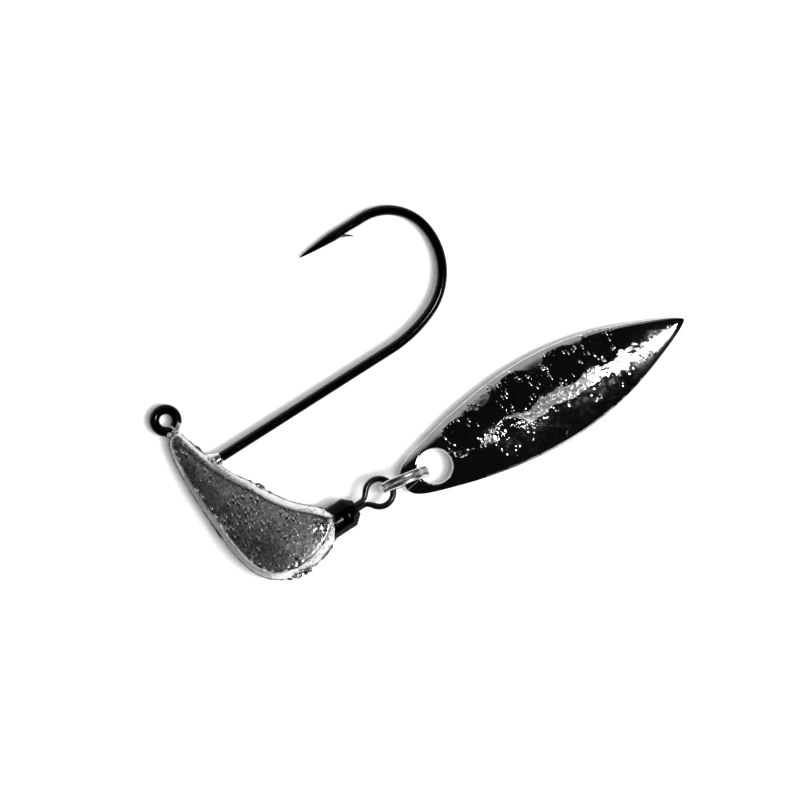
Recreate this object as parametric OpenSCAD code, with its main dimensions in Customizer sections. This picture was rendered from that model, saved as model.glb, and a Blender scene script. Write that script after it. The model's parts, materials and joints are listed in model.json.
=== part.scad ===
// Underspin fishing jig: a flat-sided lead head cast around a 90 degree jig hook, with half of
// a barrel swivel cast into its rear lower corner. The swivel's free eye carries a split ring,
// and the split ring carries a willow-leaf blade that spins under the hook.
//
// Millimetres. The origin is the centre of the line eye. +X runs along the hook's shank towards
// the bend, +Y leans towards the hook's point, and +Z is up. The lure lies on one of the head's
// cheeks. Each piece is drawn with the hook in the XY plane, and lie() then turns it about the
// line eye, because the head is a wedge: thin at the nose and thick at the belly.

/* [Hook] */
// Diameter of the hook wire
hook_wire = 1.1; // [0.8:0.05:1.4]
// Diameter of the clear hole through the line eye
eye_hole = 1.44; // [1.2:0.02:2]
// Distance from the line eye's centre down to the middle of the shank
eye_rise = 6.63; // [5:0.1:8.5]
// Distance from the line eye's centre back to the start of the bend
shank_end = 24.8; // [19:0.1:32]
// Distance between the middle of the shank and the middle of the point
hook_gap = 13.8; // [11:0.1:17]
// Length of the straight wire from the end of the bend to the tip of the point
point_len = 8.1; // [6:0.1:10]
// Length of the ground taper at the point
taper_len = 4.2; // [3:0.1:5.5]
// Inside corner radius of the hidden elbow, at the middle of the wire
elbow_r = 1.6; // [1:0.1:2.4]
// Length of the barb's free sliver
barb_len = 1.15; // [0.8:0.05:1.5]

/* [Head] */
// Width of the head from its front edge to the swivel corner
head_w = 11.9; // [9.9:0.1:14.5]
// Height of the head from its nose, at the line eye, to its belly
head_h = 20.3; // [16.5:0.1:25]
// Thickness of the head across its cheeks at the belly
head_thick = 6; // [5:0.1:7.5]
// Thickness of the head across its cheeks at the nose
nose_thick = 2.9; // [2.4:0.1:3.6]
// Width of the drafted edge between the parting line and a cheek
edge_bevel = 0.8; // [0.4:0.05:1.1]
// Distance from the front edge to the line eye's centre
front_set = 1.75; // [1.5:0.05:2.2]
// Length of the lead collar that runs out along the shank
collar_len = 1.3; // [0.8:0.1:2]
// Depth of the cut-off sprue stub under the belly
sprue_depth = 0.55; // [0.2:0.05:0.8]

/* [Swivel] */
// Outside diameter of the barrel
barrel_d = 3.4; // [2.8:0.1:4.2]
// Length of the barrel with its two tapered ends
barrel_len = 7.6; // [6.2:0.1:9.2]
// How far the barrel stands out of the head's swivel corner
barrel_out = 2.35; // [1.8:0.05:3]
// Thickness of the barrel's wall
barrel_wall = 0.35; // [0.25:0.05:0.5]
// Wire diameter of the swivel's two eyes
swivel_wire = 0.68; // [0.56:0.02:0.84]
// Outside diameter of the swivel's two eyes
swivel_eye_d = 3.7; // [3.3:0.05:4.5]
// Height of the swivel's axis above the head's belly
swivel_inset = 2.95; // [2.5:0.05:3.6]
// Length of the eye's neck between the barrel and the ring of the eye
neck_len = 1.4; // [1.1:0.1:1.8]

/* [Split ring] */
// Outside diameter of the split ring
ring_d = 5.6; // [5:0.1:7]
// Radial width of the split ring's wire
ring_wire = 0.56; // [0.45:0.01:0.7]
// Thickness of one coil of the split ring
coil_thick = 0.52; // [0.42:0.01:0.64]
// How far the split ring is turned in the eye, towards the belly
ring_yaw = 10; // [0:1:20]

/* [Blade] */
// Length of the blade
blade_len = 35.5; // [29:0.1:43]
// Greatest width of the blade
blade_w = 10.3; // [8.5:0.1:12.5]
// Thickness of the blade's sheet
blade_thick = 0.6; // [0.4:0.05:0.8]
// Diameter of the hole in the blade
blade_hole = 3.8; // [3.4:0.1:4.5]
// Distance from the blade's front end to the middle of its hole
hole_set = 3.9; // [3.2:0.1:4.7]
// Radius of the blade's hollow across its width
cup_r = 11; // [9:0.5:16]
// Radius of the blade's gentle curve along its length
camber_r = 130; // [90:5:200]
// Angle between the blade and the shank, tip towards the belly
blade_yaw = 1.9; // [0:0.1:5]
// How far the blade is rolled about its own length
blade_roll = 9; // [0:1:12]

/* [Hidden] */
$fn = 96;
tiny = 0.01;
running = 0.05; // radial clearance of a neck in the barrel
slack = 0.08; // least free play of the split ring in the swivel's eye
rim_slack = 0.26; // free play of the blade's front rim in the split ring

// Hook: three tangent arcs make the bend, and the middle one takes up the gap
wire_r = hook_wire / 2;
eye_land = 0.04; // share of the wire that is pressed flat inside the line eye
eye_ring_r = eye_hole / 2 + hook_wire * (0.5 - eye_land);
entry_r = 15;
exit_r = 5.3;
entry_turn = 22.5;
main_turn = 100;
exit_rise = exit_r * (1 + cos(main_turn));
main_r = (hook_gap - entry_r * (1 - cos(entry_turn)) - exit_rise)
       / (cos(entry_turn) - cos(main_turn));
function arc_centre(from, old_r, new_r, turn) = from + (old_r - new_r) * [sin(turn), -cos(turn)];
entry_c = [shank_end, -eye_rise + entry_r];
main_c = arc_centre(entry_c, entry_r, main_r, entry_turn);
exit_c = arc_centre(main_c, main_r, exit_r, main_turn);
point_y = exit_c.y + exit_r;
tip_x = exit_c.x - point_len;
tip_r = 0.04;
wire_sides = 24;
// One stop on the wire: [x, y, heading, radius], and the stops of a left-hand turn about a centre
function turn_stops(centre, r, from, to, steps) = [
  for (i = [0:steps])
    let (a = from + (to - from) * i / steps) [centre.x + r * sin(a), centre.y - r * cos(a), a, wire_r]
];
WIRE = concat(
  [[0, -eye_ring_r, -90, wire_r]],
  turn_stops([elbow_r, elbow_r - eye_rise], elbow_r, -90, 0, 6),
  turn_stops(entry_c, entry_r, 0, entry_turn, 6),
  turn_stops(main_c, main_r, entry_turn + 6, main_turn, 12),
  turn_stops(exit_c, exit_r, main_turn + 6, 180, 12),
  [
    for (share = [1, 0.8, 0.6, 0.4, 0.2, 0.08, 0])
      [tip_x + taper_len * share, point_y, 180, tip_r + (wire_r - tip_r) * share ^ 0.75]
  ]
);

// Head: its outline is a smooth curve through a few points, given as shares of its width and
// height, counted from the front edge and from the nose
nose_y = -1.78;
belly_y = nose_y - head_h;
HEAD_SHAPE = [
  [0.06, 0.00], [0.21, 0.00], [0.25, 0.10], [0.33, 0.24], [0.42, 0.36], [0.52, 0.45], [0.61, 0.55],
  [0.73, 0.65], [0.89, 0.74], [0.96, 0.79], [1.00, 0.845], [0.955, 0.90], [0.86, 0.95],
  [0.69, 0.99], [0.51, 1.00], [0.31, 0.97], [0.15, 0.91], [0.07, 0.83], [0.03, 0.72],
  [0.005, 0.55], [0.00, 0.34], [0.02, 0.15]
];
// The drafted side from one cheek to the other: [share of the half thickness, share of the bevel]
SIDE = [[-1, 1], [-0.75, 0.6], [-0.3, 0.14], [0, 0], [0.3, 0.14], [0.75, 0.6], [1, 1]];
// The drafted edge is narrower at the slender nose, and full from this share of the height down
full_bevel = 0.5;
nose_bevel = 0.4;
// The wedge between a cheek and the hook's plane, and the height of the line eye above the table
wedge = atan((head_thick - nose_thick) / 2 / head_h);
eye_lift = nose_thick / 2 + nose_y * tan(wedge);
function half_thick(y) = eye_lift - y * tan(wedge);

// Swivel: its axis lies in the hook's plane
swivel_y = belly_y + swivel_inset;
barrel_end = head_w - front_set + barrel_out;
barrel_mid = barrel_end - barrel_len / 2;
barrel_r = barrel_d / 2;
barrel_taper = 0.9;
barrel_mouth = 0.52; // radius of the barrel's crimped end faces, as a share of its own radius
neck_wire_r = swivel_wire * 0.4;
neck_side = neck_wire_r * 0.94; // the two wires of a neck are pressed slightly together
neck_r = neck_side + neck_wire_r + tiny;
neck_lap = 0.1; // how far the neck's round part and its two wires run into each other
mouth_r = neck_r + running;
cavity_r = barrel_r - barrel_wall;
button_len = 0.9;
button_play = 0.1; // radial play of the upset button in the barrel
swivel_wire_r = swivel_wire / 2;
swivel_eye_r = swivel_eye_d / 2 - swivel_wire_r;
swivel_eye_x = barrel_end + neck_len + swivel_eye_r;
link_x = swivel_eye_x + swivel_eye_r;
swivel_eye_inner = swivel_eye_r - swivel_wire_r;

// Split ring: it stands on edge in the swivel's eye, with its front wire inside the eye
ring_r = ring_d / 2 - ring_wire / 2;
ring_inner_r = ring_d / 2 - ring_wire;
coil_gap = 0.08;
ring_half = coil_thick + coil_gap / 2;
ring_gap_angle = 14;
ring_shift = 0.12; // the front wire sits this far off the swivel's axis
ring_room = sqrt((swivel_eye_inner - slack) ^ 2 - (ring_half + ring_shift) ^ 2);
ring_front_x = swivel_eye_x + ring_room - ring_wire / 2;
ring_x = ring_front_x + ring_r * cos(ring_yaw);
ring_y = swivel_y + ring_shift - ring_r * sin(ring_yaw);

// Blade: its front rim passes through the split ring below the ring's middle
blade_drop = ring_inner_r * 0.3;
rim_drop = blade_drop + blade_thick * 0.6;
rim_reach = sqrt(ring_inner_r ^ 2 - rim_drop ^ 2);
hole_r = blade_hole / 2;
hole_reach = rim_reach - rim_slack + hole_r;
hole_x = ring_x + hole_reach * cos(ring_yaw);
hole_y = ring_y - hole_reach * sin(ring_yaw);
blade_tail = blade_len - hole_set;
camber_mid = blade_tail - blade_len / 2;
function ridge_z(x) = sqrt(camber_r ^ 2 - (x - camber_mid) ^ 2) - camber_r;
blade_lift = blade_thick / 2 - ridge_z(0) - blade_drop;
tail_drop = half_thick(swivel_y) - blade_thick - 0.1; // the tip comes down almost to the table
blade_slope = asin((blade_lift + ridge_z(blade_tail) + tail_drop) / blade_tail);
// Half of the leaf's outline: [share of the length from the front end, share of the half width]
LEAF = [
  [0.00, 0.15], [0.015, 0.30], [0.05, 0.43], [0.12, 0.58], [0.22, 0.76], [0.34, 0.91], [0.46, 0.99],
  [0.58, 0.97], [0.70, 0.84], [0.80, 0.64], [0.89, 0.40], [0.96, 0.19], [0.995, 0.05]
];

// A closed or open smooth curve (Catmull-Rom) through a list of points
function blend(p, t) = 0.5 * (2 * p[1] + (p[2] - p[0]) * t
  + (2 * p[0] - 5 * p[1] + 4 * p[2] - p[3]) * t ^ 2 + (3 * p[1] - p[0] - 3 * p[2] + p[3]) * t ^ 3);
function closed_curve(pts, steps) = let (n = len(pts)) [
  for (i = [0:n - 1], s = [0:steps - 1])
    blend([for (k = [-1:2]) pts[(i + k + n) % n]], s / steps)
];
function open_curve(pts, steps) = let (n = len(pts)) [
  for (i = [0:n - 2], s = [0:steps - 1])
    blend([for (k = [-1:2]) pts[max(0, min(n - 1, i + k))]], s / steps)
];

// The head's outline at one level of its drafted side, moved inwards from the parting line
function unit(v) = v / norm(v);
function bevel_at(p) = edge_bevel * min(1, nose_bevel + (1 - nose_bevel) * p.y / full_bevel);
function head_outline(share) = let (
  pts = [for (p = HEAD_SHAPE) [p.x * head_w - front_set, nose_y - p.y * head_h]],
  n = len(pts)
) closed_curve([
  for (i = [0:n - 1])
    let (run = unit(pts[(i + 1) % n] - pts[(i + n - 1) % n]))
      pts[i] + share * bevel_at(HEAD_SHAPE[i]) * [run.y, -run.x]
], 4);

// Triangles across an outline with an even number of points, as a ladder between its two halves
function ladder(n) = [
  for (i = [0:n / 2 - 1], rung = [[i, i + 1, n - 1 - i], [i, n - 1 - i, (n - i) % n]])
    if (rung[0] != rung[2] && rung[1] != rung[2]) rung
];

// A solid lofted between outlines that have the same even number of points
module loft(rings) {
  n = len(rings[0]);
  last = len(rings) - 1;
  sides = [
    for (k = [0:last - 1], i = [0:n - 1])
      let (j = (i + 1) % n) [k * n + i, k * n + j, (k + 1) * n + j, (k + 1) * n + i]
  ];
  start = [for (t = ladder(n)) [t[2], t[1], t[0]]];
  end = [for (t = ladder(n)) [for (i = t) last * n + i]];
  points = [for (ring = rings) each ring];
  polyhedron(points = points, faces = concat(sides, start, end), convexity = 6);
}

module along_x(x0, x1, r0, r1) {
  translate([x0, 0, 0])
    rotate([0, 90, 0])
      cylinder(h = x1 - x0, r1 = r0, r2 = r1);
}

// The line eye has a short straight land inside, worn in by the wire's forming tool
module line_eye() {
  rotate_extrude()
    difference() {
      translate([eye_ring_r, 0])
        circle(r = wire_r);
      translate([0, -hook_wire])
        square([eye_hole / 2, 2 * hook_wire]);
    }
}

// The wire from the bottom of the line eye to the tip of the point, as one swept tube
module wire() {
  loft([
    for (stop = WIRE) [
      for (i = [0:wire_sides - 1])
        let (a = -360 * (i + 0.5) / wire_sides, side = stop[3] * cos(a))
          [stop.x - side * sin(stop[2]), stop.y + side * cos(stop[2]), stop[3] * sin(a)]
    ]
  ]);
}

// The barb is a thin sliver raised from the wire, leaning back towards the bend
module barb() {
  translate([tip_x + taper_len + 1.3, point_y - wire_r, 0])
    linear_extrude(height = wire_r, center = true)
      polygon([[-0.5, 0.35], [0.35, 0.35], [1.1, 0.4 - barb_len], [0.75, 0.3 - barb_len]]);
}

module hook() {
  color("#1b1c1e") {
    line_eye();
    wire();
    barb();
  }
}

// The bare casting before the hook and the swivel take up their room
module casting() {
  loft([
    for (level = SIDE) [for (p = head_outline(level[1])) [p.x, p.y, level[0] * half_thick(p.y)]]
  ]);
}

module collar() {
  start = head_w * 0.33 - front_set;
  translate([0, -eye_rise, 0])
    along_x(start - 1, start + collar_len, wire_r * 2.2, wire_r * 1.2);
}

// A stub of the sprue stands under the belly, cut off at a slant
module sprue() {
  translate([head_w * 0.52 - front_set, belly_y, 0])
    linear_extrude(height = 2.2, center = true)
      polygon([[-2.6, 2], [-2.5, 0.9], [-0.9, -sprue_depth], [0.4, -sprue_depth * 0.6], [1.8, 1]]);
}

module jig_head() {
  color("#77787a")
    difference() {
      union() {
        casting();
        collar();
        sprue();
      }
      line_eye();
      wire();
      barrel_body(0);
      front_eye_wire();
    }
}

// The barrel's outer form, filled, made thinner all over by a wall
module barrel_body(wall) {
  half = barrel_len / 2 - wall;
  shoulder = barrel_len / 2 - barrel_taper;
  r = barrel_r - wall;
  end_r = max(barrel_r * barrel_mouth - wall, tiny);
  translate([barrel_mid, swivel_y, 0])
    rotate([0, 90, 0])
      rotate_extrude()
        polygon([
          [0, -half], [end_r, -half], [r, -shoulder], [r, shoulder], [end_r, half], [0, half]
        ]);
}

module swivel_barrel() {
  color("#232427")
    difference() {
      barrel_body(0);
      barrel_body(barrel_wall);
      translate([0, swivel_y, 0])
        along_x(barrel_end - barrel_len - 1, barrel_end + 1, mouth_r, mouth_r);
    }
}

// One eye of the swivel, drawn on the rear side: a ring of wire, its two ends side by side as a
// neck, and the upset button that holds it inside the barrel
module eye_ring() {
  translate([swivel_eye_x, swivel_y, 0])
    rotate_extrude()
      translate([swivel_eye_r, 0])
        circle(r = swivel_wire_r);
}

module eye_neck() {
  inside = barrel_end - barrel_taper - running;
  for (side = [-1, 1])
    translate([0, swivel_y + side * neck_side, 0])
      along_x(barrel_end, swivel_eye_x - swivel_eye_r + neck_lap, neck_wire_r, neck_wire_r);
  translate([0, swivel_y, 0]) {
    along_x(inside - tiny, barrel_end + neck_lap, neck_r, neck_r);
    along_x(inside - button_len, inside, cavity_r - button_play, cavity_r - button_play);
  }
}

module front_eye_wire() {
  translate([2 * barrel_mid, 0, 0])
    mirror([1, 0, 0]) {
      eye_ring();
      eye_neck();
    }
}

module swivel_front_eye() {
  color("#232427")
    front_eye_wire();
}

module swivel_rear_eye() {
  color("#232427") {
    eye_ring();
    eye_neck();
  }
}

// One coil of the split ring is open by a small angle, and a slanted step joins the two coils
module coil(z, from) {
  translate([0, 0, z])
    rotate([0, 0, from])
      rotate_extrude(angle = 360 - ring_gap_angle)
        translate([ring_inner_r, -coil_thick / 2])
          square([ring_wire, coil_thick]);
}

module split_ring() {
  offset_z = (coil_thick + coil_gap) / 2;
  color("#c9cbce")
    translate([ring_x, ring_y, 0])
      rotate([0, 0, -ring_yaw])
        rotate([90, 0, 0]) {
          coil(-offset_z, ring_gap_angle / 2);
          coil(offset_z, ring_gap_angle / 2);
          rotate([0, 0, 180])
            rotate_extrude(angle = ring_gap_angle)
              translate([ring_inner_r, -offset_z])
                square([ring_wire, 2 * offset_z]);
        }
}

// The willow leaf's outline, from the blunt front end to the rounded tip
module leaf() {
  upper = open_curve([for (p = LEAF) [p.x * blade_len - hole_set, p.y * blade_w / 2]], 4);
  tip = [[blade_tail, 0]];
  polygon(concat(upper, tip, [for (i = [len(upper) - 1:-1:0]) [upper[i].x, -upper[i].y]]));
}

// Sheet with a hollow across its width that is also bent gently along its length
module cupped_sheet() {
  turn = 2 * asin(blade_len / camber_r);
  translate([camber_mid, 0, -camber_r])
    rotate([90, 0, 0])
      rotate([0, 0, 90 - turn / 2])
        rotate_extrude(angle = turn)
          translate([camber_r - cup_r, 0])
            difference() {
              circle(r = cup_r);
              circle(r = cup_r - blade_thick);
            }
}

module blade() {
  color("#d4d6d8")
    translate([hole_x, hole_y, blade_lift])
      rotate([0, 0, -blade_yaw])
        rotate([0, blade_slope, 0])
          rotate([blade_roll, 0, 0])
            difference() {
              intersection() {
                cupped_sheet();
                translate([0, 0, -cup_r / 2])
                  linear_extrude(height = cup_r)
                    leaf();
              }
              translate([0, 0, -cup_r / 2])
                cylinder(h = cup_r, r = hole_r);
            }
}

// The whole lure turned about the line eye until a cheek lies level
module lie() {
  rotate([-wedge, 0, 0])
    children();
}

lie() jig_head();
lie() hook();
lie() swivel_barrel();
lie() swivel_front_eye();
lie() swivel_rear_eye();
lie() split_ring();
lie() blade();
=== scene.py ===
"""Looks of an underspin jig: a raw lead head on a black jig hook, with a cast-in barrel swivel,
a split ring and a hammered willow blade.

Each piece is drawn in millimetres with the hook in the XY plane and the line eye at the origin.
The whole lure is then turned about the line eye, as it lies on one cheek, and scaled to metres.
"""

import json
import logging
import math
from dataclasses import dataclass
from enum import Enum

import bmesh
import bpy
import numpy as np
from mathutils import Matrix, Vector

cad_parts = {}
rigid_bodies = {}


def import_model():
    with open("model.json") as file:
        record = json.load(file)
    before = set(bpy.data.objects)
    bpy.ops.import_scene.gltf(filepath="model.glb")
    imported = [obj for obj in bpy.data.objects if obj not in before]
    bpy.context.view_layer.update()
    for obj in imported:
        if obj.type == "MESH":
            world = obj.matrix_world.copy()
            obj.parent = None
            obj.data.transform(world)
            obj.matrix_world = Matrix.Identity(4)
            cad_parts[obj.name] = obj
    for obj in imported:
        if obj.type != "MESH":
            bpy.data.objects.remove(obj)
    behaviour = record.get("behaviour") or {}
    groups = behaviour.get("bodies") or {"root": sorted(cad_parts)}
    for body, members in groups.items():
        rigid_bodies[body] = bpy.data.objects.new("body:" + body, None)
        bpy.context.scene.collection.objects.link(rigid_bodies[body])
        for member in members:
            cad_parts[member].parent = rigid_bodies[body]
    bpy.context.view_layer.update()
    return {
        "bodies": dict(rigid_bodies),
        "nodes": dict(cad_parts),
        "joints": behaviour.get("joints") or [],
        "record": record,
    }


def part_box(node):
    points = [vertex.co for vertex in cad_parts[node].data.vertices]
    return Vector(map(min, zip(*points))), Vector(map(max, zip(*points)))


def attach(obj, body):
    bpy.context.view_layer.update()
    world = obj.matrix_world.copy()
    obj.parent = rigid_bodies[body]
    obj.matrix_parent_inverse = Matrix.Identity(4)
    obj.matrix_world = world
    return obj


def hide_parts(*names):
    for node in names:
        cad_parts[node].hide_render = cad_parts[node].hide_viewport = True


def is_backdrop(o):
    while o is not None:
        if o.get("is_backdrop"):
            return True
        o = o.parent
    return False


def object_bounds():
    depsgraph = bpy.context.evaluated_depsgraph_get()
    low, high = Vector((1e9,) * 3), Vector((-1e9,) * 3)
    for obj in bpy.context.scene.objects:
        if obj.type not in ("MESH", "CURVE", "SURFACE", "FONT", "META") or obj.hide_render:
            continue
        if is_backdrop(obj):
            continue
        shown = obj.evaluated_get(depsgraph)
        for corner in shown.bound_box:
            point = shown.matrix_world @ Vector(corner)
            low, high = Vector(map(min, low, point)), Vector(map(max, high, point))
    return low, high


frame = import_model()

MM = 0.001
TURN = 2 * math.pi
MERGE_WITHIN = 1e-4
log = logging.getLogger("underspin jig")


class Body(Enum):
    """The bodies of the frame that a piece can ride on."""

    LURE = "lure"
    SWIVEL_EYE = "swivel_eye"
    RING = "ring"
    BLADE = "spinner_blade"


class Section(Enum):
    """The section that a wire is drawn to."""

    ROUND = False
    FLAT = True


# ------------------------------------------------------------------ places taken from the frame


@dataclass(frozen=True)
class Places:
    """Where the linked pieces meet, in millimetres, with the hook in the XY plane."""

    wedge: float
    swivel_eye: np.ndarray
    ring: np.ndarray
    ring_yaw: float

    @classmethod
    def from_frame(cls, loaded: dict) -> "Places":
        """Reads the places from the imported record.


        Returns:
            The places of the swivel's eye and the split ring, and the lure's turn.
        """
        eye_axis = loaded["record"]["mounts"][0]["axis"]
        wedge = math.atan2(eye_axis[1], eye_axis[2])
        joints = {joint["name"]: joint for joint in loaded["joints"]}
        upright = np.array(Matrix.Rotation(wedge, 3, "X"))
        eye = upright @ np.array(joints["swivel_spin"]["pos_m"]) / MM
        ring = upright @ np.array(joints["blade_swing"]["pos_m"]) / MM
        axis = upright @ np.array(joints["blade_swing"]["axis"])
        return cls(wedge, eye, ring, math.atan2(-axis[0], -axis[1]))

    def lie_down(self) -> Matrix:
        """The matrix from the drawing's millimetres to the lying lure in metres."""
        return Matrix.Scale(MM, 4) @ Matrix.Rotation(-self.wedge, 4, "X")


# ------------------------------------------------------------------ node trees


class Bench:
    """A node tree that is being wired up."""

    def __init__(self, tree: bpy.types.NodeTree) -> None:
        """Keeps the tree to work on.

        Args:
            tree: A geometry, shader or world node tree.
        """
        self.tree = tree

    def add(self, kind: str, inputs: dict | None = None, **settings: object) -> bpy.types.Node:
        """Adds one node.

        Args:
            kind: The node's type name.
            inputs: Values or sockets by input name or number.
            **settings: The node's own properties.

        Returns:
            The new node.
        """
        node = self.tree.nodes.new(kind)
        for name, value in settings.items():
            setattr(node, name, value)
        for key, value in (inputs or {}).items():
            if isinstance(value, bpy.types.NodeSocket):
                self.tree.links.new(value, node.inputs[key])
            else:
                node.inputs[key].default_value = value
        return node

    def math(self, operation: str, *values: object) -> bpy.types.NodeSocket:
        """The result of a Math node on numbers or sockets."""
        return self.add("ShaderNodeMath", dict(enumerate(values)), operation=operation).outputs[0]

    def vector(self, operation: str, *values: object) -> bpy.types.NodeSocket:
        """The vector result of a Vector Math node."""
        return self.add("ShaderNodeVectorMath", dict(enumerate(values)), operation=operation).outputs[0]

    def smooth(self, value: object, low: float, high: float) -> bpy.types.NodeSocket:
        """A smooth step from 0 at low to 1 at high, where low may be the greater.

        Args:
            value: What is measured.
            low: Where the step is 0.
            high: Where the step is 1.

        Returns:
            The step's socket.
        """
        inputs = {"Value": value, "From Min": low, "From Max": high}
        node = self.add("ShaderNodeMapRange", inputs, interpolation_type="SMOOTHSTEP")
        return node.outputs[0]

    def between(self, factor: object, low: object, high: object) -> bpy.types.NodeSocket:
        """A number between two others, by a factor from 0 to 1."""
        node = self.add("ShaderNodeMix", {0: factor, 2: low, 3: high}, data_type="FLOAT")
        return node.outputs[0]

    def tint(self, factor: object, low: object, high: object) -> bpy.types.NodeSocket:
        """A colour between two others, by a factor from 0 to 1."""
        node = self.add("ShaderNodeMix", {0: factor, 6: low, 7: high}, data_type="RGBA")
        return node.outputs[2]

    def noise(self, at: object, size: float, detail: float = 2.0, seed: float = 0.0) -> bpy.types.NodeSocket:
        """Noise from 0 to 1.

        Args:
            at: The place, as a vector socket.
            size: The width of its patches, in the place's own units.
            detail: How many finer layers it has.
            seed: Which of the many patterns it is.

        Returns:
            The noise's value socket.
        """
        inputs = {"Vector": at, "W": seed, "Scale": 1 / size, "Detail": detail}
        return self.add("ShaderNodeTexNoise", inputs, noise_dimensions="4D").outputs[0]

    def cells(self, at: object, size: float, feature: str = "F1") -> bpy.types.Node:
        """A Voronoi node whose cells are size wide."""
        return self.add("ShaderNodeTexVoronoi", {"Vector": at, "Scale": 1 / size}, feature=feature)

    def named(self, name: str) -> bpy.types.NodeSocket:
        """A number that the geometry's points carry under a name."""
        return self.add("GeometryNodeInputNamedAttribute", {"Name": name}, data_type="FLOAT").outputs[0]

    def product(self, *factors: object) -> bpy.types.NodeSocket:
        """The factors multiplied from left to right.

        Args:
            *factors: Numbers or sockets.

        Returns:
            The product's socket.
        """
        total = factors[0]
        for factor in factors[1:]:
            total = self.math("MULTIPLY", total, factor)
        return total

    def swing(
        self, at: object, size: float, detail: float, seed: float, reach: object
    ) -> bpy.types.NodeSocket:
        """Noise that swings to both sides of nought, as far as half of the reach."""
        return self.product(self.math("SUBTRACT", self.noise(at, size, detail, seed), 0.5), reach)

    def lot(self, cells: bpy.types.Node) -> bpy.types.NodeSocket:
        """A number from 0 to 1 that is the same all over one cell of a Voronoi node."""
        return self.add("ShaderNodeSeparateXYZ", {0: cells.outputs["Color"]}).outputs[0]


class Recipe:
    """A Geometry Nodes tree with named inputs. It is run once and leaves a plain mesh."""

    def __init__(self, name: str) -> None:
        """Starts an empty tree with a geometry input and output.

        Args:
            name: The tree's name.
        """
        self.tree = bpy.data.node_groups.new(name, "GeometryNodeTree")
        self.bench = Bench(self.tree)
        face = self.tree.interface
        face.new_socket("Geometry", in_out="INPUT", socket_type="NodeSocketGeometry")
        face.new_socket("Geometry", in_out="OUTPUT", socket_type="NodeSocketGeometry")
        self.source = self.tree.nodes.new("NodeGroupInput")
        self.keys: dict[str, str] = {}

    def input(self, name: str, kind: str = "Float") -> bpy.types.NodeSocket:
        """Adds a named input.

        Args:
            name: The input's name.
            kind: The socket type without its prefix, such as Float or Object.

        Returns:
            The socket that carries the value inside the tree.
        """
        made = self.tree.interface.new_socket(name, in_out="INPUT", socket_type="NodeSocket" + kind)
        self.keys[name] = made.identifier
        return self.source.outputs[name]

    def moved(self, offset: bpy.types.NodeSocket, **kept: bpy.types.NodeSocket) -> bpy.types.NodeSocket:
        """The given geometry with its points moved.

        Args:
            offset: How far each point moves.
            **kept: Numbers that the points keep, by name.

        Returns:
            The moved geometry.
        """
        inputs = {"Geometry": self.source.outputs["Geometry"], "Offset": offset}
        made = self.bench.add("GeometryNodeSetPosition", inputs).outputs[0]
        for name, value in kept.items():
            inputs = {"Geometry": made, "Name": name, "Value": value}
            made = self.bench.add("GeometryNodeStoreNamedAttribute", inputs).outputs[0]
        return made

    def close(self, geometry: bpy.types.NodeSocket) -> None:
        """Ends the tree in smooth faces, real geometry and a material.

        Args:
            geometry: The geometry that the tree has made.
        """
        material = self.input("Material", "Material")
        smooth = self.bench.add("GeometryNodeSetShadeSmooth", {"Geometry": geometry})
        real = self.bench.add("GeometryNodeRealizeInstances", {"Geometry": smooth.outputs[0]})
        inputs = {"Geometry": real.outputs[0], "Material": material}
        dressed = self.bench.add("GeometryNodeSetMaterial", inputs)
        self.bench.add("NodeGroupOutput", {"Geometry": dressed.outputs[0]})

    def run(self, obj: bpy.types.Object, **values: object) -> bpy.types.Object:
        """Runs the tree on an object and keeps the result as its plain mesh.

        Args:
            obj: The object to work on.
            **values: The inputs by name, with _ for a space.

        Returns:
            The same object.
        """
        modifier = obj.modifiers.new(self.tree.name, "NODES")
        modifier.node_group = self.tree
        for name, value in values.items():
            modifier[self.keys[name.replace("_", " ")]] = value
        graph = bpy.context.evaluated_depsgraph_get()
        made = bpy.data.meshes.new_from_object(
            obj.evaluated_get(graph), preserve_all_data_layers=True, depsgraph=graph
        )
        obj.modifiers.remove(modifier)
        obj.data = made
        return obj


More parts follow.
